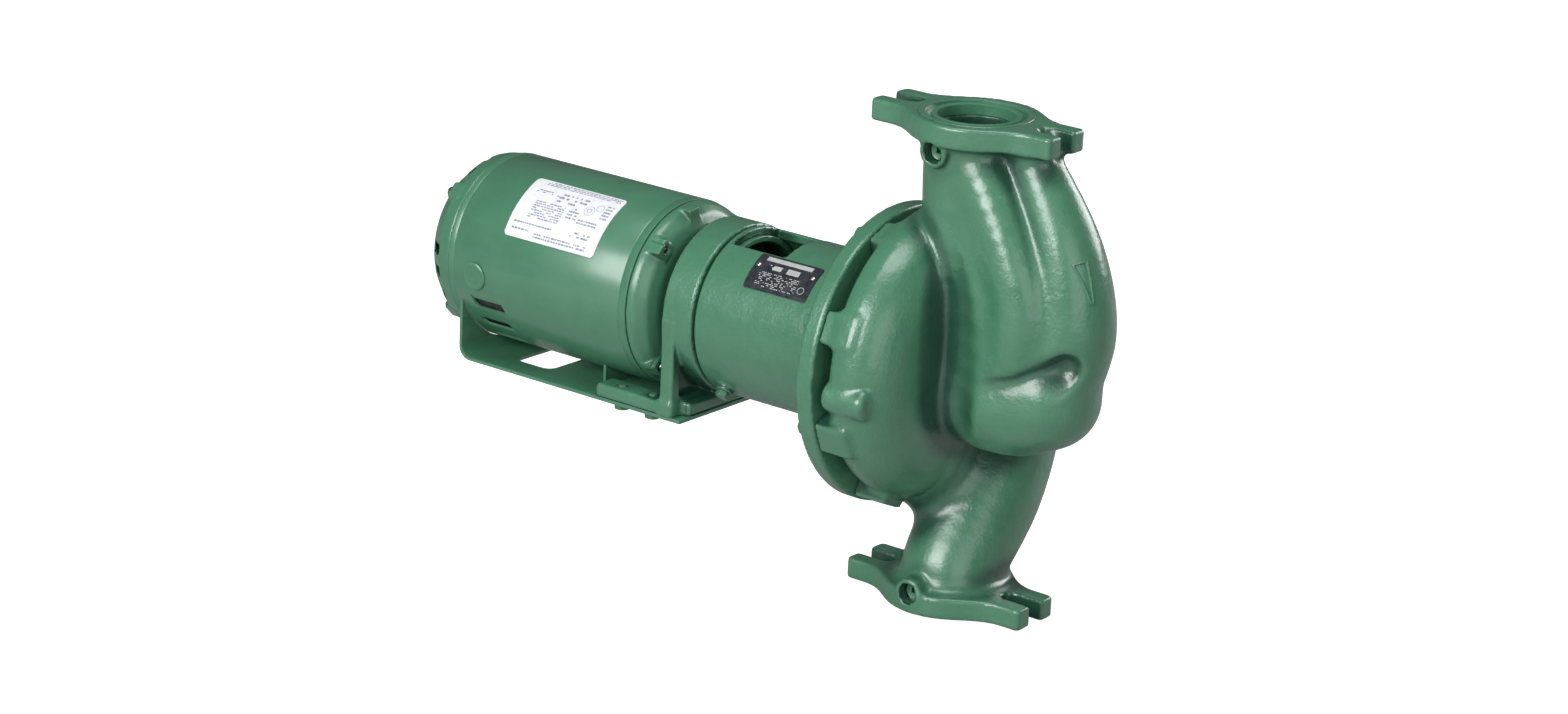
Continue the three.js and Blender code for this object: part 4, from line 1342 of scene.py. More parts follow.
def tiles_object(name: str, tiles: Array, radii: Sequence[float]) -> bpy.types.Object:
    """Small raised patches of print on a cylinder round the shaft.

    Args:
        name: The piece's name.
        tiles: Rows of x start, x end, angle start and angle end.
        radii: Bottom and top of the print.

    Returns:
        The object, one closed box for each tile.
    """
    x = tiles[:, [0, 1, 1, 0]]
    turn = np.radians(tiles[:, [2, 2, 3, 3]])
    layers = [np.stack([x, r * np.cos(turn), r * np.sin(turn)], axis=-1) for r in radii]
    points = np.concatenate(layers, axis=1).reshape(-1, 3)
    box = np.array([[0, 1, 2, 3], [7, 6, 5, 4], [0, 4, 5, 1], [1, 5, 6, 2], [2, 6, 7, 3], [3, 7, 4, 0]])
    faces = (box[None] + 8 * np.arange(len(tiles))[:, None, None]).reshape(-1, 4)
    return tidied(mesh_object(name, points, faces))


def print_rows(
    rng: np.random.Generator,
    x_span: Sequence[float],
    angles: Sequence[float],
    rows: int,
    longest: float,
    filled: float = 0.8,
) -> Array:
    """Rows of unreadable dashes, as printed lines of small type look from a distance.

    Args:
        rng: Source of the dash lengths.
        x_span: Ends of the rows.
        angles: First and last row's angle.
        rows: Number of rows.
        longest: Longest dash.
        filled: Share of each row that carries dashes.

    Returns:
        Tiles of x start, x end, angle start and angle end.
    """
    step = (angles[1] - angles[0]) / max(rows, 1)
    count = int((x_span[1] - x_span[0]) / (longest * 0.75)) + 1
    lengths = rng.uniform(0.35, 1.0, (rows, count)) * longest
    starts = x_span[0] + np.cumsum(lengths + longest * 0.18, axis=1) - lengths
    ends = np.minimum(starts + lengths, x_span[1])
    first = angles[0] + step * np.arange(rows)[:, None] + np.zeros_like(starts)
    tiles = np.stack([starts, ends, first, first + step * 0.5], axis=-1).reshape(-1, 4)
    shown = (tiles[:, 1] - tiles[:, 0] > 0.3) & (rng.random(len(tiles)) < filled)
    return tiles[shown]


def ring_of_tiles(centre: Sequence[float], radius: float, count: int, size: float, surface: float) -> Array:
    """Small square tiles round a circle drawn on a cylinder.

    Args:
        centre: The circle's centre as x and angle.
        radius: The circle's radius.
        count: Number of tiles.
        size: Side of a tile.
        surface: Radius of the cylinder.

    Returns:
        Tiles of x start, x end, angle start and angle end.
    """
    turn = np.linspace(0, 2 * math.pi, count, endpoint=False)
    x = centre[0] + radius * np.cos(turn)
    angle = centre[1] + np.degrees(radius * np.sin(turn) / surface)
    reach = math.degrees(size / 2 / surface)
    return np.stack([x - size / 2, x + size / 2, angle - reach, angle + reach], axis=-1)


def prism_object(name: str, corners: Array, axis: int, span: Sequence[float]) -> bpy.types.Object:
    """A flat outline drawn out along one axis.

    Args:
        name: The piece's name.
        corners: The outline on the other two axes, in their order.
        axis: 0, 1 or 2 for X, Y or Z.
        span: The two ends on that axis.

    Returns:
        The object.
    """
    rows = np.asarray(corners, float)
    n = len(rows)
    points = np.stack([np.insert(rows, axis, end, axis=1) for end in span])
    faces = grid_faces(2, n, False, True).tolist() + [list(range(n)), list(range(2 * n - 1, n - 1, -1))]
    return tidied(mesh_object(name, points.reshape(-1, 3), faces))


def beveled(piece: bpy.types.Object, width: float) -> bpy.types.Object:
    """Rounds a piece's sharp edges by ``width`` millimetres.

    Args:
        piece: The piece.
        width: Width of the rounding.

    Returns:
        The same piece.
    """
    step = piece.modifiers.new("edge", "BEVEL")
    step.width = width * MM
    step.segments = BEVEL_SEGMENTS
    step.limit_method = "ANGLE"
    step.angle_limit = math.radians(BEVEL_ANGLE)
    step.harden_normals = False
    return piece


# ---- Face seats, plugs and arrow of the casing --------------------------------------------------------
@dataclass
class CasingTrim:
    """The machined pipe seats, the two gauge plugs and the cast flow arrow of the casing."""

    shop: Workshop
    casing: PumpCasing
    sides: int = 96
    plug_radius: float = 8.1
    socket_half: float = 2.6
    plug_rise: float = 2.5
    arrow_start: float = 175.0
    arrow_steps: int = 40
    arrow_bead: float = 1.15
    seat_profile: tuple[tuple[float, float], ...] = (
        (-9.8, 32.2), (-9.8, 45.2), (0.0, 45.2), (0.05, 47.6), (0.5, 47.2), (0.7, 45.8), (0.6, 42.9),
        (0.1, 42.1), (-3.0, 41.9), (-3.4, 41.3), (-3.3, 38.0), (-2.8, 37.4), (-0.7, 37.0), (-0.3, 36.3),
        (-0.5, 33.4), (-1.3, 32.2),
    )
    arrow_edge: tuple[tuple[float, float], ...] = (
        (-23.0, 120.0), (-13.5, 122.5), (-15.0, 90.0), (-17.0, 90.0)
    )

    def seats(self) -> None:
        """One turned seat with its gasket groove on each pipe face."""
        faces = (("upper", "z", self.casing.top_face), ("lower", "-z", self.casing.bottom_face))
        for name, axis, height in faces:
            grid = placed(turned_grid(np.array(self.seat_profile), self.sides), axis, (0, 0, height))
            piece = rings_object(f"pipe_seat_{name}", grid)
            self.shop.stand_for(piece, "cast_enamel", Slot.GREEN)

    def plugs(self) -> None:
        """A square-socket plug sunk in each gauge tap."""
        r, h = self.plug_radius, self.socket_half
        profile = np.array([(-14, 0), (-14, r), (-7.6, r), (-7.0, r - 0.7), (-7.4, r - 1.6), (-7.4, 0)])
        for name, (x, z, front, _, _) in zip(("upper", "lower"), self.casing.gauges):
            face = front + self.plug_rise
            grid = placed(turned_grid(profile, 48), "-y", (x, face, z))
            body = rings_object(f"gauge_plug_{name}_turned", grid)
            square = np.array([(x - h, z - h), (x + h, z - h), (x + h, z + h), (x - h, z + h)])
            cut_with(body, [prism_object("socket", square, 1, (face - 5, face + 12))])
            self.shop.stand_for(body, "cast_enamel", Slot.GREEN, [f"gauge_plug_{name}"])

    def arrow(self) -> None:
        """The raised outline of a flow arrow, a bead laid on the front of the suction passage.

        The outline's points start well in front of the casting and step back to it along X, each step
        being the field's own distance there.
        """
        corners = np.array(self.arrow_edge)
        s = np.linspace(0, 1, 14, endpoint=False)[None, :, None]
        line = (corners[:, None] * (1 - s) + np.roll(corners, -1, axis=0)[:, None] * s).reshape(-1, 2)
        path = np.stack([np.full(len(line), self.arrow_start), line[:, 0], line[:, 1]], axis=-1)
        for _ in range(self.arrow_steps):
            path[:, 0] -= self.casing.distance(path) * 0.9
        turn = np.linspace(0, 2 * math.pi, 8, endpoint=False)[None, :, None]
        along = np.roll(path, -1, axis=0) - np.roll(path, 1, axis=0)
        along /= np.linalg.norm(along, axis=-1, keepdims=True)
        out = np.array([1.0, 0.0, 0.0]) - along * along[:, :1]
        out /= np.linalg.norm(out, axis=-1, keepdims=True)
        side = np.cross(along, out)
        grid = path[:, None] + self.arrow_bead * (np.cos(turn) * out[:, None] + np.sin(turn) * side[:, None])
        piece = rings_object("flow_arrow", grid, 60)
        self.shop.stand_for(piece, "cast_enamel", Slot.GREEN)

    def build(self) -> None:
        """Builds all the trim."""
        self.seats()
        self.plugs()
        self.arrow()


# ---- Bearing bracket ----------------------------------------------------------------------------------
@dataclass
class BearingBracket:
    """The cast bracket: bolting disc, open barrel, bearing housing, access window and screw bosses."""

    shop: Workshop
    pitch: float = 2.3
    window: tuple[tuple[float, ...], ...] = ((-221.0, -31.0, 30.0), (-164.0, 31.0, 95.0))
    screw_circle: float = 114.0
    first_screw: float = 112.0
    screws: int = 8
    rear_screw_x: float = -207.0
    rear_screw_angles: tuple[float, ...] = (-42.0, -132.0)
    outside_profile: tuple[tuple[float, float], ...] = (
        (-226, -9), (-226, 72.2), (-224.7, 73.5), (-95, 73.5), (-87, 74.4), (-80, 77.5), (-76, 82),
        (-74.5, 88), (-74.3, 124.6), (-73.5, 126.3), (-71.9, 127), (-60.5, 127), (-58.9, 126.3),
        (-58.3, 124.8), (-58.3, 101.7), (-54.4, 101.7), (-54.4, -9),
    )
    hollow_profile: tuple[tuple[float, float], ...] = (
        (-260, -9), (-260, 66), (-92, 66), (-84, 56), (-84, 35), (-90, 29), (-154, 29), (-154, 20.4),
        (-97.7, 20.4), (-97.7, 12), (-66, 12), (-66, 19), (-40, 19), (-40, -9),
    )

    def distance(self, p: Array) -> Array:
        """Distance to the bracket: its turned outside with bosses, less the barrel, window and holes.

        Args:
            p: Points, one row each.

        Returns:
            One distance per point.
        """
        flat = around(p)
        whole = outline(flat, np.array(self.outside_profile))
        hollow = outline(flat, np.array(self.hollow_profile))
        for angle in self.rear_screw_angles:
            q = spun(p, -angle)
            whole = merged(whole, drum(q, 1, (66.0, 78.5), 8.2, (self.rear_screw_x, 0.0), 1.5), 3.0)
            hollow = np.minimum(hollow, drum(q, 1, (55.0, 95.0), 4.2, (self.rear_screw_x, 0.0), 0.3))
        folded = repeated(p, self.first_screw, self.screws)
        hollow = np.minimum(hollow, drum(folded, 0, (-90.0, -45.0), 5.1, (self.screw_circle, 0.0), 0.3))
        whole = carved(whole, slab(p, self.window[0], self.window[1], 2.5), 1.6)
        return carved(whole, hollow, 0.8)

    def casing_screws(self) -> None:
        """The screws that hold the bracket to the casing, their heads on the disc's back."""
        grid = mirrored(hex_screw_grid(14.3, 6.2, 4.7, 36.0))
        for i in range(self.screws):
            angle = self.first_screw + i * 360 / self.screws
            turned = spun(grid, 17.0 * i)
            seated = placed(turned, "x", (-74.6, self.screw_circle, 0), angle)
            piece = rings_object(f"casing_screw_{i + 1}_turned", seated)
            self.shop.stand_for(piece, "cast_enamel", Slot.GREEN, [f"casing_screw_{i + 1}"])

    def rear_screws(self) -> None:
        """The two screws that hold the motor bracket in the barrel."""
        grid = hex_screw_grid(10.4, 4.7, 3.6, 10.5)
        for i, angle in enumerate(self.rear_screw_angles):
            seated = placed(grid, "y", (self.rear_screw_x, 78.8, 0), angle)
            piece = rings_object(f"bracket_screw_{i + 1}_turned", seated)
            self.shop.stand_for(piece, "cast_enamel", Slot.GREEN, [f"bracket_screw_{i + 1}"])

    def build(self) -> None:
        """Builds the casting and its screws."""
        piece = net_object("bracket_casting", net_round("bearing_bracket", self.distance, self.pitch, 8))
        self.shop.stand_for(piece, "cast_enamel", Slot.GREEN, ["bearing_bracket"])
        self.casing_screws()
        self.rear_screws()


@dataclass
class Nameplate:
    """The printed metal plate on the barrel, its rivets and its unreadable print."""

    shop: Workshop
    x_span: tuple[float, float] = (-185.5, -119.5)
    angles: tuple[float, float] = (117.5, 145.0)
    radii: tuple[float, float] = (73.8, 74.4)
    rivet_x: tuple[float, float] = (-181.0, -124.0)
    rivet_angle: float = 127.0

    def marks(self) -> Array:
        """The pale marks: heading band, white box, rows of type and a round mark.

        Returns:
            Tiles of x start, x end, angle start and angle end.
        """
        rng = np.random.default_rng(11)
        band = np.array([[-177.0, -129.0, 119.2, 122.6]])
        box = np.array([[-151.0, -138.0, 125.0, 129.2], [-166.0, -157.0, 126.0, 128.8]])
        parts = [
            band,
            box,
            print_rows(rng, (-172.0, -156.0), (125.2, 128.6), 2, 2.6, 0.6),
            print_rows(rng, (-176.0, -134.0), (131.6, 142.6), 9, 2.0, 0.5),
            ring_of_tiles((-128.4, 138.0), 3.1, 22, 0.7, self.radii[1]),
        ]
        return np.concatenate(parts)

    def build(self) -> None:
        """Builds the plate, its print and its rivets."""
        plate = film_object("nameplate_sheet", self.x_span, self.angles, self.radii, 2.6)
        self.shop.stand_for(plate, "plate_black", Slot.NAMEPLATE, ["pump_nameplate"])
        top = self.radii[1]
        marks = tiles_object("nameplate_marks", self.marks(), (top - 0.2, top + 0.06))
        self.shop.stand_for(marks, "plate_bare", Slot.NAMEPLATE)
        profile = np.array([(-4, 0), (-4, 1.3), (0.05, 1.3), (0.1, 2.3), (0.7, 2.1), (1.2, 1.3), (1.4, 0)])
        for i, x in enumerate(self.rivet_x):
            grid = placed(turned_grid(profile, 24), "y", (x, top, 0), self.rivet_angle)
            piece = rings_object(f"nameplate_rivet_{i + 1}_turned", grid)
            self.shop.stand_for(piece, "ground_steel", Slot.STEEL, [f"nameplate_rivet_{i + 1}"])


# ---- Motor bracket ------------------------------------------------------------------------------------
@dataclass
class MotorBracket:
    """The casting that carries the motor: rim, spigot, pierced web, post plate, toe and two foot rails."""

    shop: Workshop
    pitch: float = 2.2
    foot: tuple[float, float] = (-85.6, -73.6)
    screw_places: tuple[tuple[float, float], ...] = ((-308, -65), (-308, 65), (-274, -65), (-274, 65))
    rim_profile: tuple[tuple[float, float], ...] = (
        (-260, 60), (-260, 73.2), (-258.6, 74.7), (-229.4, 74.7), (-228.2, 73.6), (-228, 71), (-228, 65.7),
        (-217, 65.7), (-217, 60),
    )

    def distance(self, p: Array) -> Array:
        """Distance to the bracket.

        Args:
            p: Points, one row each.

        Returns:
            One distance per point.
        """
        near = np.stack([p[:, 0], np.abs(p[:, 1]), p[:, 2]], axis=-1)
        low, high = self.foot
        post = slab(p, (-260.0, -74.7, low), (-246.0, 74.7, 0.0), 2.5)
        post = carved(post, slab(p, (-252.0, -63.0, low + 16), (-230.0, 63.0, -8.0), 5.0), 3.0)
        whole = merged(outline(around(p), np.array(self.rim_profile)), post, 3.0)
        whole = merged(whole, drum(p, 0, (-260.0, -247.0), 72.0, (0.0, 0.0), 1.0), 3.0)
        whole = merged(whole, slab(near, (-330.0, 53.0, low), (-246.0, 76.0, high), 3.0), 6.0)
        whole = merged(whole, slab(p, (-250.0, -62.0, low), (-236.0, 62.0, high), 3.0), 5.0)
        cuts = drum(p, 0, (-275.0, -242.0), 42.0, (0.0, 0.0), 0.5)
        cuts = np.minimum(cuts, drum(p, 0, (-246.0, -205.0), 60.0, (0.0, 0.0), 2.0))
        for x, y in self.screw_places:
            cuts = np.minimum(cuts, drum(p, 2, (low - 5, high + 5), 4.3, (x, y), 0.3))
        for angle in BearingBracket.rear_screw_angles:
            hole = drum(spun(p, -angle), 1, (50.0, 85.0), 4.2, (BearingBracket.rear_screw_x, 0.0), 0.3)
            cuts = np.minimum(cuts, hole)
        return carved(whole, cuts, 1.2)

    def build(self) -> None:
        """Builds the casting."""
        piece = net_object("motor_bracket_casting", net_round("motor_bracket", self.distance, self.pitch, 8))
        self.shop.stand_for(piece, "cast_enamel", Slot.GREEN, ["motor_bracket"])


# ---- Motor --------------------------------------------------------------------------------------------
FRONT_BELL_ROWS = (
    (-294.7, 77.6), (-294.7, 81.7), (-287, 80.6), (-279, 73.1), (-275, 62.1), (-274, 30), (-263, 24),
    (-263, 14.3), (-287, 14.3), (-287, 22), (-279, 30), (-280, 58.1), (-284, 69.1), (-291, 76.1),
)
FRONT_LUGS = (
    (137.7, -290.0, -275.5, 81.0, 5.0), (99.3, -291.0, -278.0, 82.0, 6.5),
    (-140.0, -290.0, -280.0, 80.5, 4.0),
)
AIR_SLOTS = tuple(quarter + offset for quarter in (0.0, 90.0, 180.0, 270.0) for offset in (-4.5, 10.5, 26.5))
REAR_BELL_ROWS = (
    (-499.3, 77.6), (-504, 76.1), (-523, 68.1), (-533, 52), (-534, 24), (-515, 20), (-515, 14.3),
    (-540, 14.3), (-540, -6), (-544, -6), (-544, 20), (-539, 54), (-529, 68.1), (-515, 79.1),
    (-499.3, 81.7),
)


@dataclass
class EndBell:
    """A pressed end bell of the motor: a thin dome with bolt seats, holes, lugs and air slots."""

    shop: Workshop
    node: str
    outline_rows: tuple[tuple[float, float], ...]
    seat: tuple[tuple[float, float], tuple[float, float]]
    lugs: tuple[tuple[float, float, float, float, float], ...] = ()
    slots: tuple[float, ...] = ()
    slot_x: tuple[float, float] = (-528.0, -513.0)
    bolt_circle: float = 73.5
    pitch: float = 1.7

    def __post_init__(self) -> None:
        """Rounds the outline's corners."""
        self.smooth = eased(self.outline_rows, 3.0, 3)

    def distance(self, p: Array) -> Array:
        """Distance to the bell.

        Args:
            p: Points, one row each.

        Returns:
            One distance per point.
        """
        whole = outline(around(p), self.smooth)
        (back, front), (inner, outer) = self.seat
        folded = repeated(p, 45.0, 4)
        whole = merged(whole, slab(folded, (back, inner, -8.0), (front, outer, 8.0), 2.2), 3.0)
        for angle, x0, x1, reach, half in self.lugs:
            whole = merged(whole, slab(spun(p, -angle), (x0, 66.0, -half), (x1, reach, half), 1.2), 2.0)
        cuts = drum(folded, 0, (back - 30.0, front + 60.0), 2.9, (self.bolt_circle, 0.0), 0.2)
        for angle in self.slots:
            q = spun(p, -angle)
            cuts = np.minimum(cuts, slab(q, (self.slot_x[0], 56.0, -4.6), (self.slot_x[1], 95.0, 4.6), 1.5))
        return carved(whole, cuts, 0.8)

    def build(self) -> None:
        """Builds the bell."""
        net = net_round(self.node, self.distance, self.pitch, 6)
        piece = net_object(f"{self.node}_pressing", net)
        self.shop.stand_for(piece, "sheet_enamel", Slot.GREEN, [self.node])


@dataclass
class MotorShell:
    """The rolled shell with its cooling slots, lead hole and cover, label and through bolts."""

    shop: Workshop
    radius: float = 82.1
    bore: float = 79.9
    ends: tuple[float, float] = (-499.0, -295.0)
    vent_x: tuple[float, float] = (-473.0, -439.0)
    vent_angles: tuple[float, ...] = (-156.0, -140.5, -124.5)
    vent_half_angle: float = 3.5
    lead_x: float = -468.0
    lead_angle: float = -175.0
    lead_radius: float = 10.4
    label_x: tuple[float, float] = (-441.0, -339.0)
    label_angles: tuple[float, float] = (110.5, 154.5)

    def vent(self, angle: float, hooked: bool) -> Array:
        """Outline of one cooling slot on the near side, as (x, angle) rows with slanted ends.

        Args:
            angle: The slot's angle in degrees.
            hooked: Whether it has a hook at its rear end.

        Returns:
            The outline's corners.
        """
        (x0, x1), h = self.vent_x, self.vent_half_angle
        start = [(x0 - 2.5, angle - 1.7 * h), (x0 + 1.5, angle - h)] if hooked else [(x0 - 1.5, angle - h)]
        rest = [(x1 - 1.0, angle - h), (x1 + 2.5, angle + h), (x0 + 4.0, angle + h), (x0, angle + 0.2 * h)]
        return np.array(start + rest)

    def tube(self) -> None:
        """The shell itself, a rolled tube with beads near its ends and everything cut through it."""
        (x0, x1), r = self.ends, self.radius
        beads = [(x0, self.bore), (x0, r - 0.5), (x0 + 0.6, r), (x0 + 5, r), (x0 + 6, r - 0.5), (x0 + 7, r)]
        beads += [(x1 - 9, r), (x1 - 8, r - 0.55), (x1 - 7, r), (x1 - 0.6, r), (x1, r - 0.5)]
        beads.append((x1, self.bore))
        tube = turned_object("motor_shell_rolled", beads, 160)
        cutters = []
        for i, angle in enumerate(self.vent_angles):
            shape = self.vent(angle, i == 0)
            flipped = shape * np.array([1.0, -1.0]) - np.array([0.0, 180.0])
            cutters.append(wrapped_prism(f"vent_{i}_near", shape, (70.0, 90.0), 3))
            cutters.append(wrapped_prism(f"vent_{i}_far", flipped, (70.0, 90.0), 3))
        place = (self.lead_x, 0, 0)
        cutters.append(bar_object("lead_hole", "y", (70, 95), self.lead_radius, place, self.lead_angle))
        cut_with(tube, cutters)
        self.shop.stand_for(tube, "sheet_enamel", Slot.GREEN, ["motor_shell"])

    def lead_cover(self) -> None:
        """The snap-in cover of the lead hole, a little dished inside its rolled rim."""
        r = self.lead_radius
        profile = [(76, 0), (76, r - 0.6), (82.3, r - 0.4), (82.2, r + 2.3), (83.1, r + 2.4)]
        profile += [(83.9, r + 1.5), (84.1, r + 0.4), (83.7, r - 0.8), (83.4, r - 2.4), (83.3, 0)]
        grid = placed(turned_grid(np.array(profile, float), 64), "y", (self.lead_x, 0, 0), self.lead_angle)
        piece = rings_object("lead_hole_cover_pressed", grid, 50)
        self.shop.stand_for(piece, "sheet_enamel", Slot.GREEN, ["lead_hole_cover"])

    def marks(self) -> Array:
        """The label's print: heading rows, a block of type, two ringed diagrams and closing lines.

        Returns:
            Tiles of x start, x end, angle start and angle end.
        """
        rng = np.random.default_rng(4)
        surface = self.radius + 0.8
        parts = [
            print_rows(rng, (-428, -343), (111.6, 115.4), 3, 5.0, 0.9),
            print_rows(rng, (-432, -400), (119.5, 122.5), 2, 3.6, 0.6),
            print_rows(rng, (-405, -372), (118.5, 127.0), 3, 3.0, 0.5),
            print_rows(rng, (-425, -390), (128.0, 141.0), 8, 4.2, 0.85),
            print_rows(rng, (-386, -374), (127.0, 136.0), 4, 2.6, 0.55),
            print_rows(rng, (-372, -346), (133.5, 137.5), 2, 3.0, 0.85),
            print_rows(rng, (-352, -344), (119.0, 131.0), 5, 2.4, 0.8),
            print_rows(rng, (-436, -392), (144.0, 146.0), 1, 3.2, 0.9),
            print_rows(rng, (-436, -416), (148.2, 150.4), 1, 4.5, 1.0),
            print_rows(rng, (-410, -350), (149.2, 153.0), 2, 3.6, 0.9),
            print_rows(rng, (-372, -350), (142.0, 146.6), 2, 2.6, 0.7),
            ring_of_tiles((-366.0, 126.0), 5.0, 34, 0.6, surface),
            ring_of_tiles((-366.0, 126.0), 2.2, 12, 0.9, surface),
            ring_of_tiles((-357.0, 122.4), 3.6, 26, 0.6, surface),
        ]
        return np.concatenate(parts)

    def label(self) -> None:
        """The paper label and its print."""
        inner = self.radius + 0.25
        film = film_object("label_sheet", self.label_x, self.label_angles, (inner, inner + 0.5), 4.0, 64)
        self.shop.stand_for(film, "label_film", Slot.LABEL, ["motor_label"])
        ink = tiles_object("label_print", self.marks(), (inner + 0.3, inner + 0.56))
        self.shop.stand_for(ink, "label_ink", Slot.LABEL)

    def shield(self) -> None:
        """The dark air shield round the windings, just inside the cooling slots."""
        rows = [(-494.0, 77.0), (-494.0, 78.4), (-441.5, 78.4), (-441.5, 77.0)]
        piece = turned_object("air_shield", rows, 96)
        self.shop.stand_for(piece, "fan_plastic", Slot.PLASTIC)

    def bolts(self) -> None:
        """The four long bolts that clamp the end bells."""
        grid = mirrored(hex_screw_grid(8.0, 4.0, 2.3, 245.0, 36))
        for i, angle in enumerate((45, 135, 225, 315)):
            piece = rings_object(f"through_bolt_{i + 1}", placed(grid, "x", (-521.3, 73.5, 0), angle))
            self.shop.stand_for(piece, "ground_steel", Slot.STEEL, [f"motor_through_bolt_{i + 1}"])

    def build(self) -> None:
        """Builds the shell and everything on it."""
        self.tube()
        self.lead_cover()
        self.label()
        self.shield()
        self.bolts()


# ---- Motor base ---------------------------------------------------------------------------------------
@dataclass
class MotorBase:
    """The folded sheet base with its opening, turned-up rear end and the four screws through it."""

    shop: Workshop
    bottom: float = -88.9
    sheet: float = 3.0
    half_width: float = 75.0
    ends: tuple[float, float] = (-490.0, -236.0)
    bend: float = 12.0
    rear_height: float = -30.0
    shell_seat: float = 82.6
    opening: tuple[tuple[float, float], tuple[float, float]] = ((-446.0, -405.0), (-50.0, 50.0))
    tab_x: tuple[float, float] = (-345.0, -342.0)

    def side_outline(self) -> Array:
        """The folded sheet from the side: flat run, rear bend and turned-up end.

        Returns:
            The outline's corners as (x, z) rows.
        """
        (back, front), low, t, r = self.ends, self.bottom, self.sheet, self.bend
        turn = np.radians(np.linspace(270, 180, 9))
        outer = np.stack([back + r + r * np.cos(turn), low + r + r * np.sin(turn)], axis=-1)
        rest, turn = r - t, turn[::-1]
        inner = np.stack([back + r + rest * np.cos(turn), low + r + rest * np.sin(turn)], axis=-1)
        ends = np.array([(back, self.rear_height), (back + t, self.rear_height)])
        return np.concatenate([[(front, low)], outer, ends, inner, [(front, low + t)]])

    def rounded_opening(self) -> bpy.types.Object:
        """A block with rounded corners that cuts the opening.

        Returns:
            The cutter.
        """
        (x0, x1), (y0, y1) = self.opening
        r = 9.0
        turns = [np.radians(np.linspace(start, start + 90, 7)) for start in (0, 90, 180, 270)]
        middles = [(x1 - r, y1 - r), (x0 + r, y1 - r), (x0 + r, y0 + r), (x1 - r, y0 + r)]
        rows = [
            np.stack(
                [cx + r * np.cos(t), cy + r * np.sin(t)], axis=-1
            ) for (cx, cy), t in zip(middles, turns)
        ]
        return prism_object("opening", np.concatenate(rows), 2, (self.bottom - 5, self.bottom + 8))

    def saddle_tab(self) -> None:
        """The cross tab under the shell, its top edge hollowed to the shell's curve."""
        turn = np.radians(np.linspace(-126, -54, 31))
        top = self.shell_seat * np.stack([np.cos(turn), np.sin(turn)], axis=-1)
        reach = top[-1, 0]
        foot = self.bottom + self.sheet - 0.5
        rows = np.concatenate([top, [(reach, foot), (-reach, foot)]])
        piece = beveled(prism_object("base_saddle_tab", rows, 0, self.tab_x), 0.7)
        self.shop.stand_for(piece, "sheet_enamel", Slot.GREEN)

    def build(self) -> None:
        """Builds the base, its tab and its screws."""
        body = prism_object("motor_base_folded", self.side_outline(), 1, (-self.half_width, self.half_width))
        seat = bar_object("seat", "x", (-500, -300), self.shell_seat, sides=128)
        holes = [
            bar_object(f"hole_{i}", "z", (-99, -80), 4.3, (x, y, 0), sides=24)
            for i, (x, y) in enumerate(MotorBracket.screw_places)
        ]
        cut_with(body, [self.rounded_opening(), seat, *holes])
        beveled(body, 0.6)
        self.shop.stand_for(body, "sheet_enamel", Slot.GREEN, ["motor_base"])
        self.saddle_tab()
        grid = hex_screw_grid(12.4, 5.1, 3.9, 16.5)
        for i, (x, y) in enumerate(MotorBracket.screw_places):
            piece = rings_object(f"base_screw_{i + 1}_turned", placed(grid, "-z", (x, y, self.bottom - 0.3)))
            self.shop.stand_for(piece, "overpainted_zinc", Slot.ZINC, [f"base_screw_{i + 1}"])


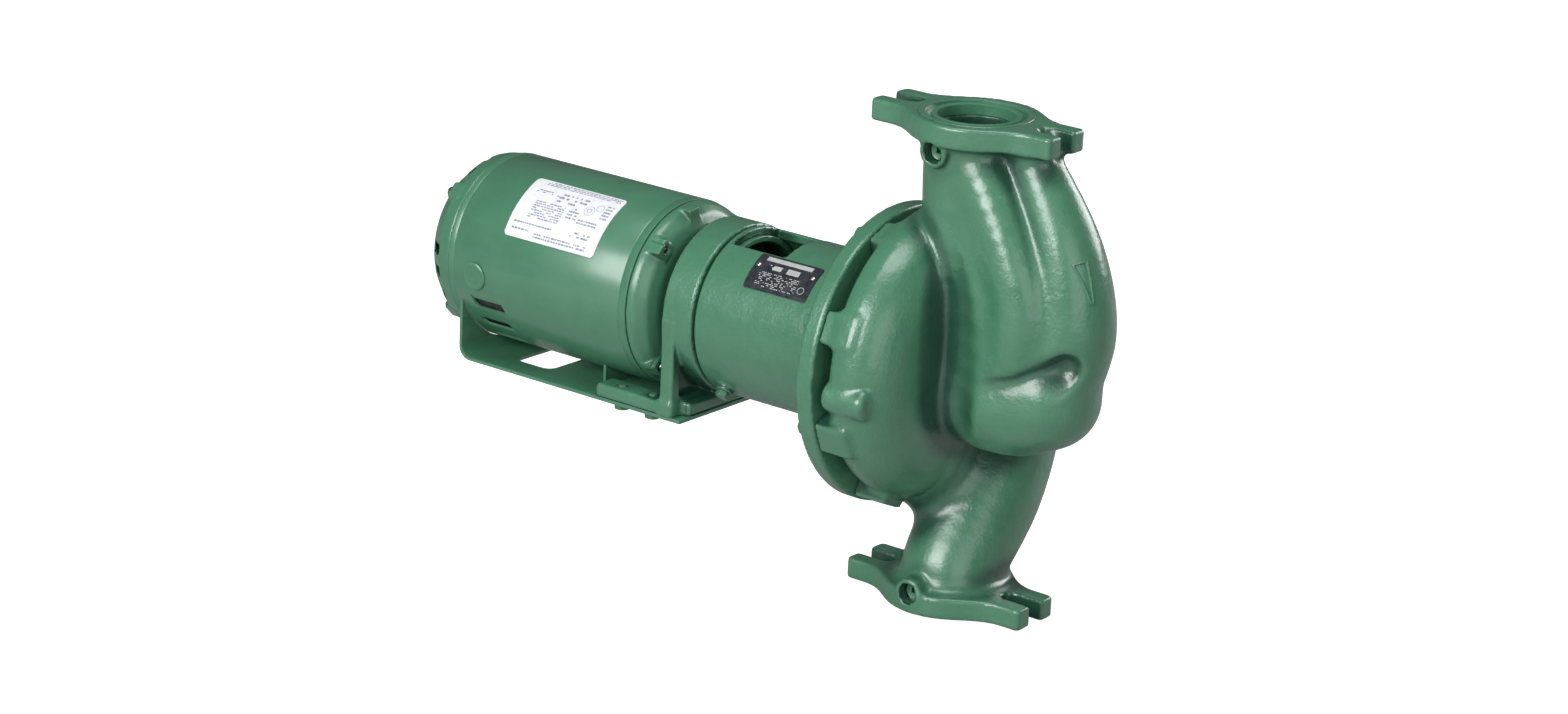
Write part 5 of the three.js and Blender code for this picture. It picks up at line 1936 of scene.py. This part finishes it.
# ---- Coupling and shafts ------------------------------------------------------------------------------
@dataclass
class DriveLine:
    """The two shafts, the coupling hubs with their set screws and the rubber insert between them."""

    shop: Workshop
    hub_radius: float = 24.0

    def hub(self, name: str, ends: Sequence[float], bore: float, screw_x: float, body: str) -> None:
        """One hub and its socket set screw.

        Args:
            name: drive or driven.
            ends: Its two ends along the shaft.
            bore: Its bore's radius.
            screw_x: Where its set screw stands.
            body: The body that it rides on.
        """
        (x0, x1), r = ends, self.hub_radius
        rows = [(x0, bore), (x0, r - 4), (x0 + 1.5, r - 2), (x0 + 3, r)]
        rows += [(x1 - 3, r), (x1 - 1.5, r - 0.6), (x1, r - 2), (x1, bore)]
        piece = turned_object(f"{name}_hub_turned", rows, 72)
        cut_with(piece, [bar_object("screw_hole", "z", (10, 40), 3.3, (screw_x, 0, 0), sides=24)])
        self.shop.stand_for(piece, "cast_enamel", Slot.GREEN, [f"{name}_coupling_hub"], body)
        profile = np.array([(bore + 0.5, 0), (bore + 0.5, 2.9), (26.3, 2.9), (26.8, 2.4), (26.8, 0)])
        grid = placed(turned_grid(profile, 24), "z", (screw_x, 0, 0))
        screw = rings_object(f"{name}_set_screw_turned", grid)
        turn = np.radians(np.arange(6) * 60.0)
        socket = np.stack([screw_x + 1.6 * np.cos(turn), 1.6 * np.sin(turn)], axis=-1)
        cut_with(screw, [prism_object("socket", socket, 2, (23.5, 30))])
        self.shop.stand_for(screw, "ground_steel", Slot.STEEL, [f"{name}_hub_set_screw"], body)

    def insert(self) -> None:
        """The insert: six lobes round its rim, each a shallow cosine swell."""
        rows = [(-208.6, 11), (-208.6, 24.5), (-207.4, 25.6), (-198.4, 25.6), (-197.2, 24.5), (-197.2, 11)]
        grid = turned_grid(np.array(rows, float), 144)
        angle = np.arctan2(grid[..., 2], grid[..., 1])
        outer = np.hypot(grid[..., 1], grid[..., 2]) > 20
        swell = 1 + np.where(outer, 0.045 * np.cos(6 * angle), 0.0)
        grid = grid * np.stack([np.ones_like(swell), swell, swell], axis=-1)
        piece = rings_object("insert_moulded", grid)
        self.shop.stand_for(piece, "black_rubber", Slot.RUBBER, ["coupling_insert"], "motor_rotor")

    def shafts(self) -> None:
        """The two shafts with chamfered ends, an oil groove and a flat for the driven hub's set screw."""
        pump = [(-198, 0), (-198, 7.5), (-197, 8.5), (-152, 8.5), (-150, 8.3), (-148, 8.5)]
        pump += [(-16, 8.5), (-16, 4.3), (-34, 4.3), (-35, 0)]
        piece = turned_object("pump_shaft_ground", pump, 64)
        flat = np.array([(-12, 7.9), (12, 7.9), (12, 12), (-12, 12)])
        cut_with(piece, [prism_object("flat", flat, 0, (-190, -178))])
        self.shop.stand_for(piece, "ground_steel", Slot.STEEL, ["pump_shaft"], "pump_rotor")
        motor = [(-534, 0), (-534, 7.2), (-533.3, 7.94), (-290, 7.94), (-289, 7.7), (-288, 7.94)]
        motor += [(-207, 7.94), (-206, 7.0), (-206, 0)]
        piece = turned_object("motor_shaft_ground", motor, 64)
        self.shop.stand_for(piece, "ground_steel", Slot.STEEL, ["motor_shaft"], "motor_rotor")

    def build(self) -> None:
        """Builds the whole line."""
        self.hub("drive", (-232.0, -209.0), 8.24, -221.0, "motor_rotor")
        self.hub("driven", (-196.8, -173.0), 8.8, -184.0, "pump_rotor")
        self.insert()
        self.shafts()


# ---- Studio -------------------------------------------------------------------------------------------
@dataclass
class Studio:
    """The camera, the soft lights, the white surround and the pale floor."""

    place: tuple[float, float, float] = (1.834996, -2.620894, 1.037339)
    towards_camera: tuple[float, float, float] = (0.58078843, -0.75358777, 0.30788029)
    roll: float = 2.668
    lens: float = 93.75
    floor_drop: float = 0.002
    floor_size: float = 30.0
    sensor: float = 36.0
    seen_strength: float = 1.05
    fill_strength: float = 0.10
    panels: tuple[tuple, ...] = (
        ("side", (-0.45, -3.3, 1.6), (-0.1, 0, 0), (2.3, 1.7), 106),
        ("crown", (0.15, -0.5, 2.5), (-0.1, 0, 0), (1.7, 1.1), 26),
        ("front", (2.7, -1.9, 0.8), (0.05, 0, 0), (2.2, 2.2), 21),
        ("rear", (1.0, 2.9, 1.0), (-0.1, 0, 0), (2.0, 1.2), 40),
    )

    def camera(self) -> None:
        """Sets the camera up from its place, its view line and its roll."""
        back = Vector(self.towards_camera).normalized()
        right = (-back).cross(Vector((0, 0, 1))).normalized()
        up = right.cross(-back)
        turn = math.radians(self.roll)
        across = math.cos(turn) * right + math.sin(turn) * up
        upward = -math.sin(turn) * right + math.cos(turn) * up
        data = bpy.data.cameras.new("camera")
        data.lens = self.lens
        data.sensor_width = self.sensor
        data.clip_end = 60.0
        made = bpy.data.objects.new("camera", data)
        matrix = Matrix((across, upward, back)).transposed().to_4x4()
        matrix.translation = Vector(self.place)
        made.matrix_world = matrix
        bpy.context.scene.collection.objects.link(made)
        bpy.context.scene.camera = made

    def panel(
        self, name: str, place: Sequence[float], target: Sequence[float], size: Sequence[float], power: float
    ) -> None:
        """One rectangular soft light.

        Args:
            name: Its name.
            place: Where it hangs.
            target: What it points at.
            size: Its width and height.
            power: Its power in watts.
        """
        data = bpy.data.lights.new(name, "AREA")
        data.shape = "RECTANGLE"
        data.size, data.size_y = size
        data.energy = power
        made = bpy.data.objects.new(name, data)
        made.location = Vector(place)
        made.rotation_euler = (Vector(target) - Vector(place)).to_track_quat("-Z", "Y").to_euler()
        bpy.context.scene.collection.objects.link(made)

    def surround(self) -> None:
        """A surround that the camera sees as white and that lights the pump more softly."""
        world = bpy.data.worlds.new("surround")
        bpy.context.scene.world = world
        world.use_nodes = True
        tree = world.node_tree
        tree.nodes.clear()
        seen = tree.nodes.new("ShaderNodeBackground")
        seen.inputs["Strength"].default_value = self.seen_strength
        fill = tree.nodes.new("ShaderNodeBackground")
        fill.inputs["Color"].default_value = (0.93, 0.97, 1.0, 1.0)
        fill.inputs["Strength"].default_value = self.fill_strength
        path = tree.nodes.new("ShaderNodeLightPath")
        mix = tree.nodes.new("ShaderNodeMixShader")
        output = tree.nodes.new("ShaderNodeOutputWorld")
        tree.links.new(path.outputs["Is Camera Ray"], mix.inputs["Fac"])
        tree.links.new(fill.outputs[0], mix.inputs[1])
        tree.links.new(seen.outputs[0], mix.inputs[2])
        tree.links.new(mix.outputs[0], output.inputs["Surface"])

    def floor(self) -> None:
        """A wide pale floor just below the lower flange."""
        low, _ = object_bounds()
        height = (low[2] - self.floor_drop) / MM
        corner = self.floor_size / MM / 2
        rows = [(x * corner, y * corner, height) for x, y in ((-1, -1), (1, -1), (1, 1), (-1, 1))]
        piece = mesh_object("floor", np.array(rows), [[0, 1, 2, 3]])
        wiring = Wiring("pale_floor")
        wiring.shader.inputs["Base Color"].default_value = (0.42, 0.42, 0.42, 1.0)
        wiring.connect(wiring.range(wiring.noise(3, 2), 0.3, 0.7, 0.6, 0.7), "Roughness")
        wiring.shader.inputs["Emission Color"].default_value = (1.0, 1.0, 1.0, 1.0)
        path = wiring.tree.nodes.new("ShaderNodeLightPath")
        wiring.connect(path.outputs["Is Camera Ray"], "Emission Strength")
        piece.data.materials.append(wiring.material)
        piece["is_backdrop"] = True

    def build(self) -> None:
        """Sets the whole studio up."""
        self.camera()
        self.surround()
        self.floor()
        for row in self.panels:
            self.panel(*row)
        bpy.context.scene.view_settings.view_transform = "Standard"


def keep_inner_works(shop: Workshop) -> None:
    """Gives every piece that stays as the frame made it its own finish.

    Args:
        shop: The workshop that dresses the pieces.
    """
    rings = [f"bearing_{ring}_ring_{place}" for ring in ("outer", "inner") for place in ("rear", "front")]
    kept = {
        "ground_steel": (*rings, "bearing_retaining_ring", "seal_spring", "impeller_screw"),
        "cage_brass": ("bearing_balls_rear", "bearing_balls_front"),
        "cast_bronze": ("impeller", "wear_ring", "motor_bearing_front", "motor_bearing_rear"),
        "lapped_ceramic": ("seal_seat",),
        "lapped_carbon": ("seal_rotating_head",),
        "stacked_laminations": ("stator_core", "rotor_core"),
        "varnished_windings": ("stator_coils_rear", "stator_coils_front"),
        "fan_plastic": ("cooling_fan",),
        "pressed_fibre": ("casing_gasket",),
    }
    for finish, names in kept.items():
        shop.keep(finish, *names)


def main() -> None:
    """Builds the studio and every piece in order."""
    logging.basicConfig(level=logging.INFO, format="%(name)s: %(message)s")
    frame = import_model()
    Studio().build()
    shop = Workshop(Palette(), frame["nodes"])
    keep_inner_works(shop)
    casing = PumpCasing(shop)
    casing.build()
    CasingTrim(shop, casing).build()
    BearingBracket(shop).build()
    Nameplate(shop).build()
    MotorBracket(shop).build()
    MotorShell(shop).build()
    EndBell(shop, "front_end_bell", FRONT_BELL_ROWS, ((-289.0, -277.0), (66.0, 79.5)), FRONT_LUGS).build()
    EndBell(shop, "rear_end_bell", REAR_BELL_ROWS, ((-521.0, -507.0), (64.0, 80.5)), (), AIR_SLOTS).build()
    MotorBase(shop).build()
    DriveLine(shop).build()


if __name__ == "__main__":
    main()
